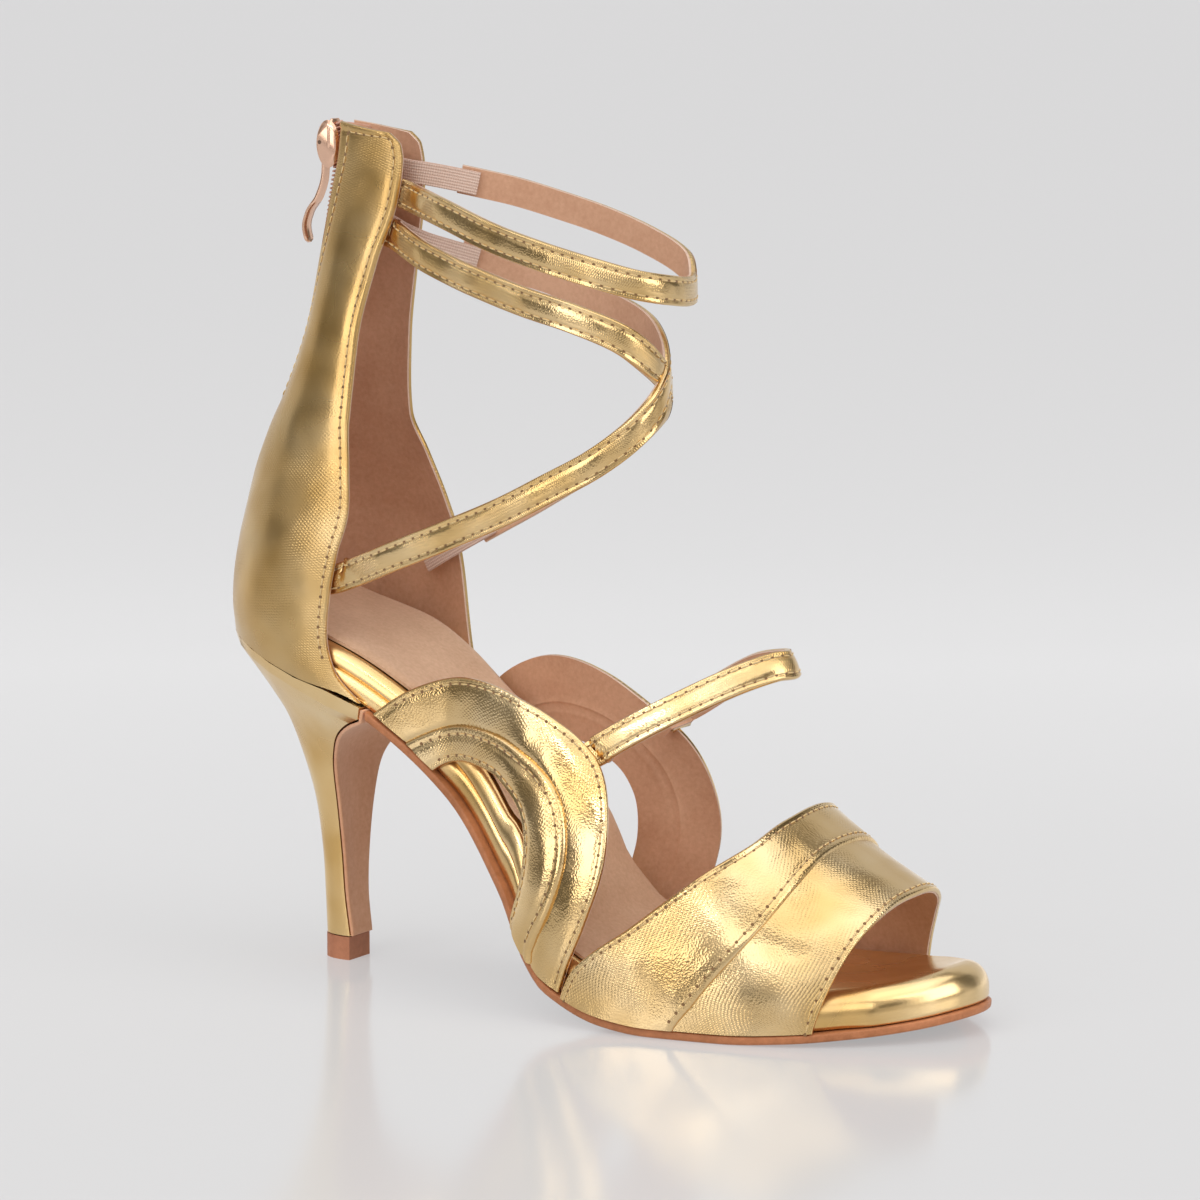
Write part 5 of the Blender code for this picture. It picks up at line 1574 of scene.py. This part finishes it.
# %% Shape the straps and elastics
def strap_places(table, start_x, reach, half, base, rise, count):
    """Centre points of a strap evenly along its line, with the lean at each."""
    points = [Vector((start_x + row.forward * reach, row.side * half, base + row.up * rise))
              for row in table]
    knots = [0.0]
    for before, after in zip(points, points[1:]):
        knots.append(knots[-1] + (after - before).length)
    path = []
    for k in range(count + 1):
        at = knots[-1] * k / count
        point = Vector([cubic(knots, [p[axis] for p in points], at, False) for axis in range(3)])
        path.append((point, radians(cubic(knots, [row.lean for row in table], at, False))))
    return path


def tuck_in_quarter(side, point, depth):
    """Keeps a strap's point inside one back wall where the two lap."""
    if point.y * side < 0:
        return point
    name = "outer" if side == OUTER else "inner"
    height = (point.z - HEEL_HEIGHT) / SHAFT_HEIGHT
    level, forward = height, 1.0
    for _ in range(12):
        back, front = shaft_x("back", level), shaft_x(name + "_front", level)
        forward = (point.x - back) / (front - back)
        level = height - (read(QUARTER, name + "_up", level) - level) * min(forward, 1.0)
    turn = acos(1 - min(max(forward, 0.0), 1.0)) * 2 / pi
    limit = abs(quarter_point(side, level, turn).y) - depth
    limit += max(forward - 1.0 - STRAP_CLEARANCE, 0.0) * STRAP_SPREAD
    return Vector((point.x, side * min(abs(point.y), limit), point.z))


def tuck_in_side_band(either, point, depth):
    """Keeps the instep strap's point inside the side band on either side where the two lap."""
    side = OUTER if point.y < 0 else INNER
    falling = [row for row in SIDE_BAND if row.edge_along > 0.4 and row.edge_up > 0.5][::-1]
    knots = [row.edge_up for row in falling]
    edge_along = cubic(knots, [row.edge_along for row in falling], point.z / HEEL_HEIGHT)
    past = point.x - sole_x(band_along(side, edge_along)) - 0.0025
    limit = abs(last_edge(side, point.x, point.z).y) - depth - LAP_GAP
    limit += max(past, 0.0) * 3.0
    return Vector((point.x, side * min(abs(point.y), limit), point.z))


def ankle_places(table, reach, count):
    front = shaft_x("outer_front", 0.9) - STRAP_BACK
    return strap_places(table, front, reach, ANKLE_HALF_WIDTH, HEEL_HEIGHT, SHAFT_HEIGHT, count)


def leather_end(steps, share):
    """Step of a strap's path where its leather stops and the elastic takes over."""
    return min(round(steps * share), steps - ELASTIC_STEPS)


ACROSS = [k / 16 - 0.5 for k in range(17)]   # places across a strap, as shares of its width


def ribbon_grid(path, width, thickness, tuck, side, inward):
    """Lining grid of a strap: points across it at each place of its centre line."""
    grid = []
    last = len(path) - 1
    for i, (point, lean) in enumerate(path):
        travel = (path[min(i + 1, last)][0] - path[max(i - 1, 0)][0]).normalized()
        outward = travel.cross(Vector((0, 0, 1))).normalized()
        up = outward.cross(travel).normalized()
        across = up * cos(lean) - outward * sin(lean)
        facing = travel.cross(across).normalized()
        centre = point - facing * inward
        grid.append([tuck(side, centre + across * width * share, thickness + LAP_GAP)
                     for share in ACROSS])
    return grid


STRAP_INSET = 0.0015    # stitches inside both edges
RIB = 0.0012            # from one rib of an elastic to the next


def strap_piece(name, path, tuck, node, inward=0.0):
    """A gold strap with its stitches. Without a node it stands beside one that another replaces."""
    strap = Sheet(ribbon_grid(path, STRAP_WIDTH, STRAP, tuck, OUTER, inward), 1)
    low, high, _, _ = strap.margins()
    dips = 0.00022 * (groove(low, STRAP_INSET, 0.0005) + groove(high, STRAP_INSET, 0.0005))
    puff = 0.00022 * np.sin(pi * low / (low + high))
    strap.thicken(STRAP - 0.0001 - dips + puff + unevenness(strap, (120.0, 0.00014, 21.0)))
    nodes = (node,) if node else ()
    put_leather(name, strap, gold_strap, (), *nodes)
    sew(name + "_stitches", strap, [beside_edge(strap, STRAP_INSET, from_end, 0.001, 0.001)
                                    for from_end in (False, True)])


def elastic_piece(name, path, node):
    """A short elastic, its ribs lengthwise, inside the inner back wall."""
    inward = GAP + ELASTIC
    band = Sheet(ribbon_grid(path, ELASTIC_WIDTH, ELASTIC, tuck_in_quarter, INNER, inward), 1)
    low, _, _, _ = band.margins()
    band.thicken(ELASTIC - 0.0002 + 0.00010 * np.cos(low * 2 * pi / RIB))
    put(sheet_object(name, band, [elastic] * 3, 0.3), "shoe", "nude_elastic", node)


FINE = 5   # places per step of the solid's own path
ankle_path = ankle_places(ANKLE_STRAP, ANKLE_REACH, ANKLE_STEPS * FINE)
end = leather_end(ANKLE_STEPS, ANKLE_LEATHER) * FINE
strap_piece("ankle_strap_leather", ankle_path[:end + 1], tuck_in_quarter, "ankle_strap")
elastic_piece("ankle_elastic", ankle_path[end - ELASTIC_STEPS * FINE:], "elastic_ankle")

falling_path = ankle_places(FALLING_STRAP, CROSS_REACH, CROSS_STEPS * FINE)
rising_path = ankle_places(RISING_STRAP, CROSS_REACH, CROSS_STEPS * FINE)
end = leather_end(CROSS_STEPS, FALLING_LEATHER) * FINE
strap_piece("falling_strap_leather", falling_path[:end + 1], tuck_in_quarter, "cross_straps")
elastic_piece("low_elastic", falling_path[end - ELASTIC_STEPS * FINE:], "elastic_cross_low")
end = leather_end(CROSS_STEPS, RISING_LEATHER) * FINE
strap_piece("rising_strap_leather", rising_path[:end + 1], tuck_in_quarter, None, -CROSS_STEP)
elastic_piece("high_elastic", rising_path[end - ELASTIC_STEPS * FINE:], "elastic_cross_high")

instep_start = sole_x(max(row.edge_along for row in SIDE_BAND)) - INSTEP_BACK
instep_path = strap_places(INSTEP_STRAP, instep_start, INSTEP_REACH, INSTEP_HALF_WIDTH,
                           0.0, HEEL_HEIGHT, INSTEP_STEPS * FINE)
strap_piece("instep_strap_leather", instep_path, tuck_in_side_band, "instep_strap")

# %% [markdown]
# ## The zip
# A rose tape closes the back, with a fine nylon coil along its middle. The slider is a small
# rose gold dome near the top, and from its pin hangs a slim bent tab. The tab is the one moving
# piece: it turns on the pin, so it rides on its own body.

# %% Shape the zip tape and its coil
def slider_frame():
    """Plate's rear face and the height of the slider's middle, at the back of the slot."""
    rear_face = shaft_x("back", SLIDER_UP) - GAP - COIL - SLIDER_PLATE
    return rear_face, HEEL_HEIGHT + SHAFT_HEIGHT * SLIDER_UP


def pin_centre():
    rear, middle = slider_frame()
    return Vector((rear - PIN_REACH, 0, middle))


TAPE_ROWS = 60
TAPE_COLUMNS = 13
COIL_PITCH = 0.0011
COIL_THREAD = 0.00026   # radius of the nylon
COIL_STEPS = 10         # corners of one turn


def zip_tape():
    """Shows the tape, and gives the points and normals along the middle of its face."""
    grid = []
    for level in np.linspace(TAPE_BOTTOM, TAPE_TOP, TAPE_ROWS):
        level = float(level)
        reach = min(turn_at_width(INNER, level, ZIP_HALF_GAP + TAPE_LAP), 0.62)
        grid.append([quarter_point(OUTER if turn < 0 else INNER, level, abs(turn), GAP + TAPE)
                     for turn in np.linspace(-reach, reach, TAPE_COLUMNS)])
    tape = Sheet(grid, 1)
    tape.thicken(np.full(tape.back.shape[:2], TAPE))
    put(sheet_object("zip_fabric", tape, [zip_fabric, lining, zip_fabric], 0.3),
        "shoe", "nude_tape", "zip_tape")
    middle = TAPE_COLUMNS // 2
    return [(Vector(tape.face[i, middle]), Vector(tape.normal[i, middle])) for i in range(TAPE_ROWS)]


def coil_object(middle):
    """The nylon coil: one thread that winds in flat loops along the tape's middle."""
    length, at = walk(middle)
    last = int(length / COIL_PITCH) * COIL_STEPS
    curve = bpy.data.curves.new("zip_coil", "CURVE")
    curve.dimensions = "3D"
    curve.bevel_depth = COIL_THREAD
    curve.bevel_resolution = 2
    spline = curve.splines.new("POLY")
    spline.points.add(last)
    for n in range(last + 1):
        point, normal = at(length * n / last)
        turn = 2 * pi * n / COIL_STEPS
        place = point + Vector((0, 1, 0)) * cos(turn) * 0.0012 + normal * (0.0006 + sin(turn) * 0.00035)
        spline.points[n].co = (*place, 1)
    curve.materials.append(zip_fabric)
    return bpy.data.objects.new("zip_coil", curve)


put(coil_object(zip_tape()), "shoe", "nude_tape")

# %% [markdown]
# The slider's body is a rounded shell, narrower at its foot, with two small ears that hold the
# pin. The tab is a strip bent in an S, rounded at its end, with an eye round the pin.

# %% Shape the slider
rear, middle_z = slider_frame()
pin = pin_centre()
DOME_RINGS = 16
DOME_CORNERS = 24
DOME_FOOT = 0.08        # share of the height over which the shell closes at its foot
DOME_TOP = 0.20         # and at its top
CHEEK_INSIDE = 0.0017   # radii of an ear before it is stretched
CHEEK_OUTSIDE = 0.0014
CHEEK_STRETCH = Matrix.Diagonal((2.1, 3.6, 1.0, 1.0))   # into a long cheek
CHEEK_FORWARD = 0.0020  # from the pin towards the shell
CHEEK_DOWN = 0.0004
ACROSS_SHOE = Matrix.Rotation(pi / 2, 4, "X")


def dome_ring(up):
    """Points round the slider's shell at a share of its height."""
    closing = max(0.0, (up - (1 - DOME_TOP)) / DOME_TOP) ** 2 * 0.45
    half = SLIDER_WIDTH / 2 * (0.60 + 0.40 * min(1.0, 2.2 * up)) * (1 - closing)
    if up < DOME_FOOT:
        half *= 0.75 + 0.25 * up / DOME_FOOT
    bulge = SLIDER_PLATE * (0.55 + 0.75 * sin(pi * up) ** 0.8)
    z = middle_z - SLIDER_HEIGHT / 2 + SLIDER_HEIGHT * up
    ring = []
    for k in range(DOME_CORNERS):
        turn = 2 * pi * k / DOME_CORNERS
        y = half * (abs(cos(turn)) ** 0.7) * (1 if cos(turn) > 0 else -1)
        ring.append((rear + SLIDER_PLATE * 0.62 - bulge * 0.62 * sin(turn), y, z))
    return ring


def add_round(bm, matrix, segments, depth, *radii):
    """A bar or cone with a radius at each end, moved to its place."""
    made = bmesh.ops.create_cone(bm, cap_ends=True, segments=segments, depth=depth,
                                 radius1=radii[0], radius2=radii[-1])
    bmesh.ops.transform(bm, matrix=matrix, verts=made["verts"])


def slider_object():
    bm = bmesh.new()
    rings = [[bm.verts.new(point) for point in dome_ring(n / DOME_RINGS)]
             for n in range(DOME_RINGS + 1)]
    bridge(bm, rings)
    bm.faces.new(rings[0][::-1])
    bm.faces.new(rings[-1])
    for side in (OUTER, INNER):
        y = side * (TAB_WIDTH / 2 + PIN_CLEARANCE + EAR / 2)
        ear_at = Matrix.Translation((pin.x + CHEEK_FORWARD, y, pin.z - CHEEK_DOWN))
        radii = [CHEEK_INSIDE, CHEEK_OUTSIDE] if side == OUTER else [CHEEK_OUTSIDE, CHEEK_INSIDE]
        add_round(bm, ear_at @ ACROSS_SHOE @ CHEEK_STRETCH, 32, EAR, *radii)
    pin_length = TAB_WIDTH + 2 * PIN_CLEARANCE + 2 * EAR
    add_round(bm, Matrix.Translation(pin) @ ACROSS_SHOE, 16, pin_length, PIN_RADIUS)
    mesh = bpy.data.meshes.new("zip_slider_dome")
    mesh.materials.append(rose_gold)
    slider = smooth_object(mesh, 50, bm)
    edge = slider.modifiers.new("rounded edges", "BEVEL")
    edge.width = 0.00025
    edge.segments = 2
    edge.limit_method = "ANGLE"
    edge.angle_limit = radians(50)
    return slider


put(slider_object(), "shoe", "rose_gold", "zip_slider")

# %% Shape the tab
EYE_STEPS = 28
TAB_STEPS = 40
EYE_SECTION = (          # across the tab, and out from the hole to the rim
    (-0.5, 0.15), (-0.42, 0.0), (0.42, 0.0), (0.5, 0.15),
    (0.5, 0.85), (0.42, 1.0), (-0.42, 1.0), (-0.5, 0.85),
)
TAB_SECTION = (          # across the tab, and through its thickness
    (-1, 0.5), (-0.85, 1), (0, 1.15), (0.85, 1), (1, 0.5),
    (1, -0.5), (0.85, -1), (0, -1), (-0.85, -1), (-1, -0.5),
)
EYE_HOLE = PIN_RADIUS + PIN_CLEARANCE


def eye_ring(turn):
    """Section of the eye at a turn round the pin."""
    ring = []
    for y, out in EYE_SECTION:
        radius = EYE_HOLE + EYE * out
        ring.append((pin.x + cos(turn) * radius, y * TAB_WIDTH * 0.94, pin.z + sin(turn) * radius))
    return ring


def tab_spot(down):
    """Point on the tab's bent middle line, from the pin."""
    back = cubic([bend.down for bend in TAB], [bend.back for bend in TAB], down)
    return Vector((-back, 0, -down)) * TAB_LENGTH


def tab_ring(down):
    """Section of the tab at a share of its length: slimmer near the eye, round at its end."""
    travel = (tab_spot(min(down + 0.01, 1.0)) - tab_spot(down - 0.01)).normalized()
    out = Vector((travel.z, 0, -travel.x))
    to_end = (1 - down) * TAB_LENGTH
    end_round = (1 - max(0.0, 1 - to_end / (TAB_WIDTH * 0.5)) ** 2) ** 0.5
    half = TAB_WIDTH / 2 * min(1.0, end_round + 0.02)
    half *= 0.80 + 0.20 * min(1.0, abs(down - 0.3) * 3)
    ring = []
    for y, up in TAB_SECTION:
        point = pin + tab_spot(down) + out * up * (TAB_THICKNESS / 2)
        ring.append((point.x, y * half, point.z))
    return ring


def tab_object():
    bm = bmesh.new()
    loops = [[bm.verts.new(point) for point in eye_ring(2 * pi * n / EYE_STEPS)]
             for n in range(EYE_STEPS)]
    bridge(bm, loops + loops[:1])
    start = (EYE_HOLE + EYE / 2) / TAB_LENGTH
    rings = [[bm.verts.new(point) for point in tab_ring(start + (1 - start) * n / TAB_STEPS)]
             for n in range(TAB_STEPS + 1)]
    bridge(bm, rings)
    bm.faces.new(rings[0][::-1])
    bm.faces.new(rings[-1])
    mesh = bpy.data.meshes.new("zip_tab")
    mesh.materials.append(rose_gold)
    return smooth_object(mesh, 45, bm)


put(tab_object(), "pull_tab", "rose_gold", "zip_pull")
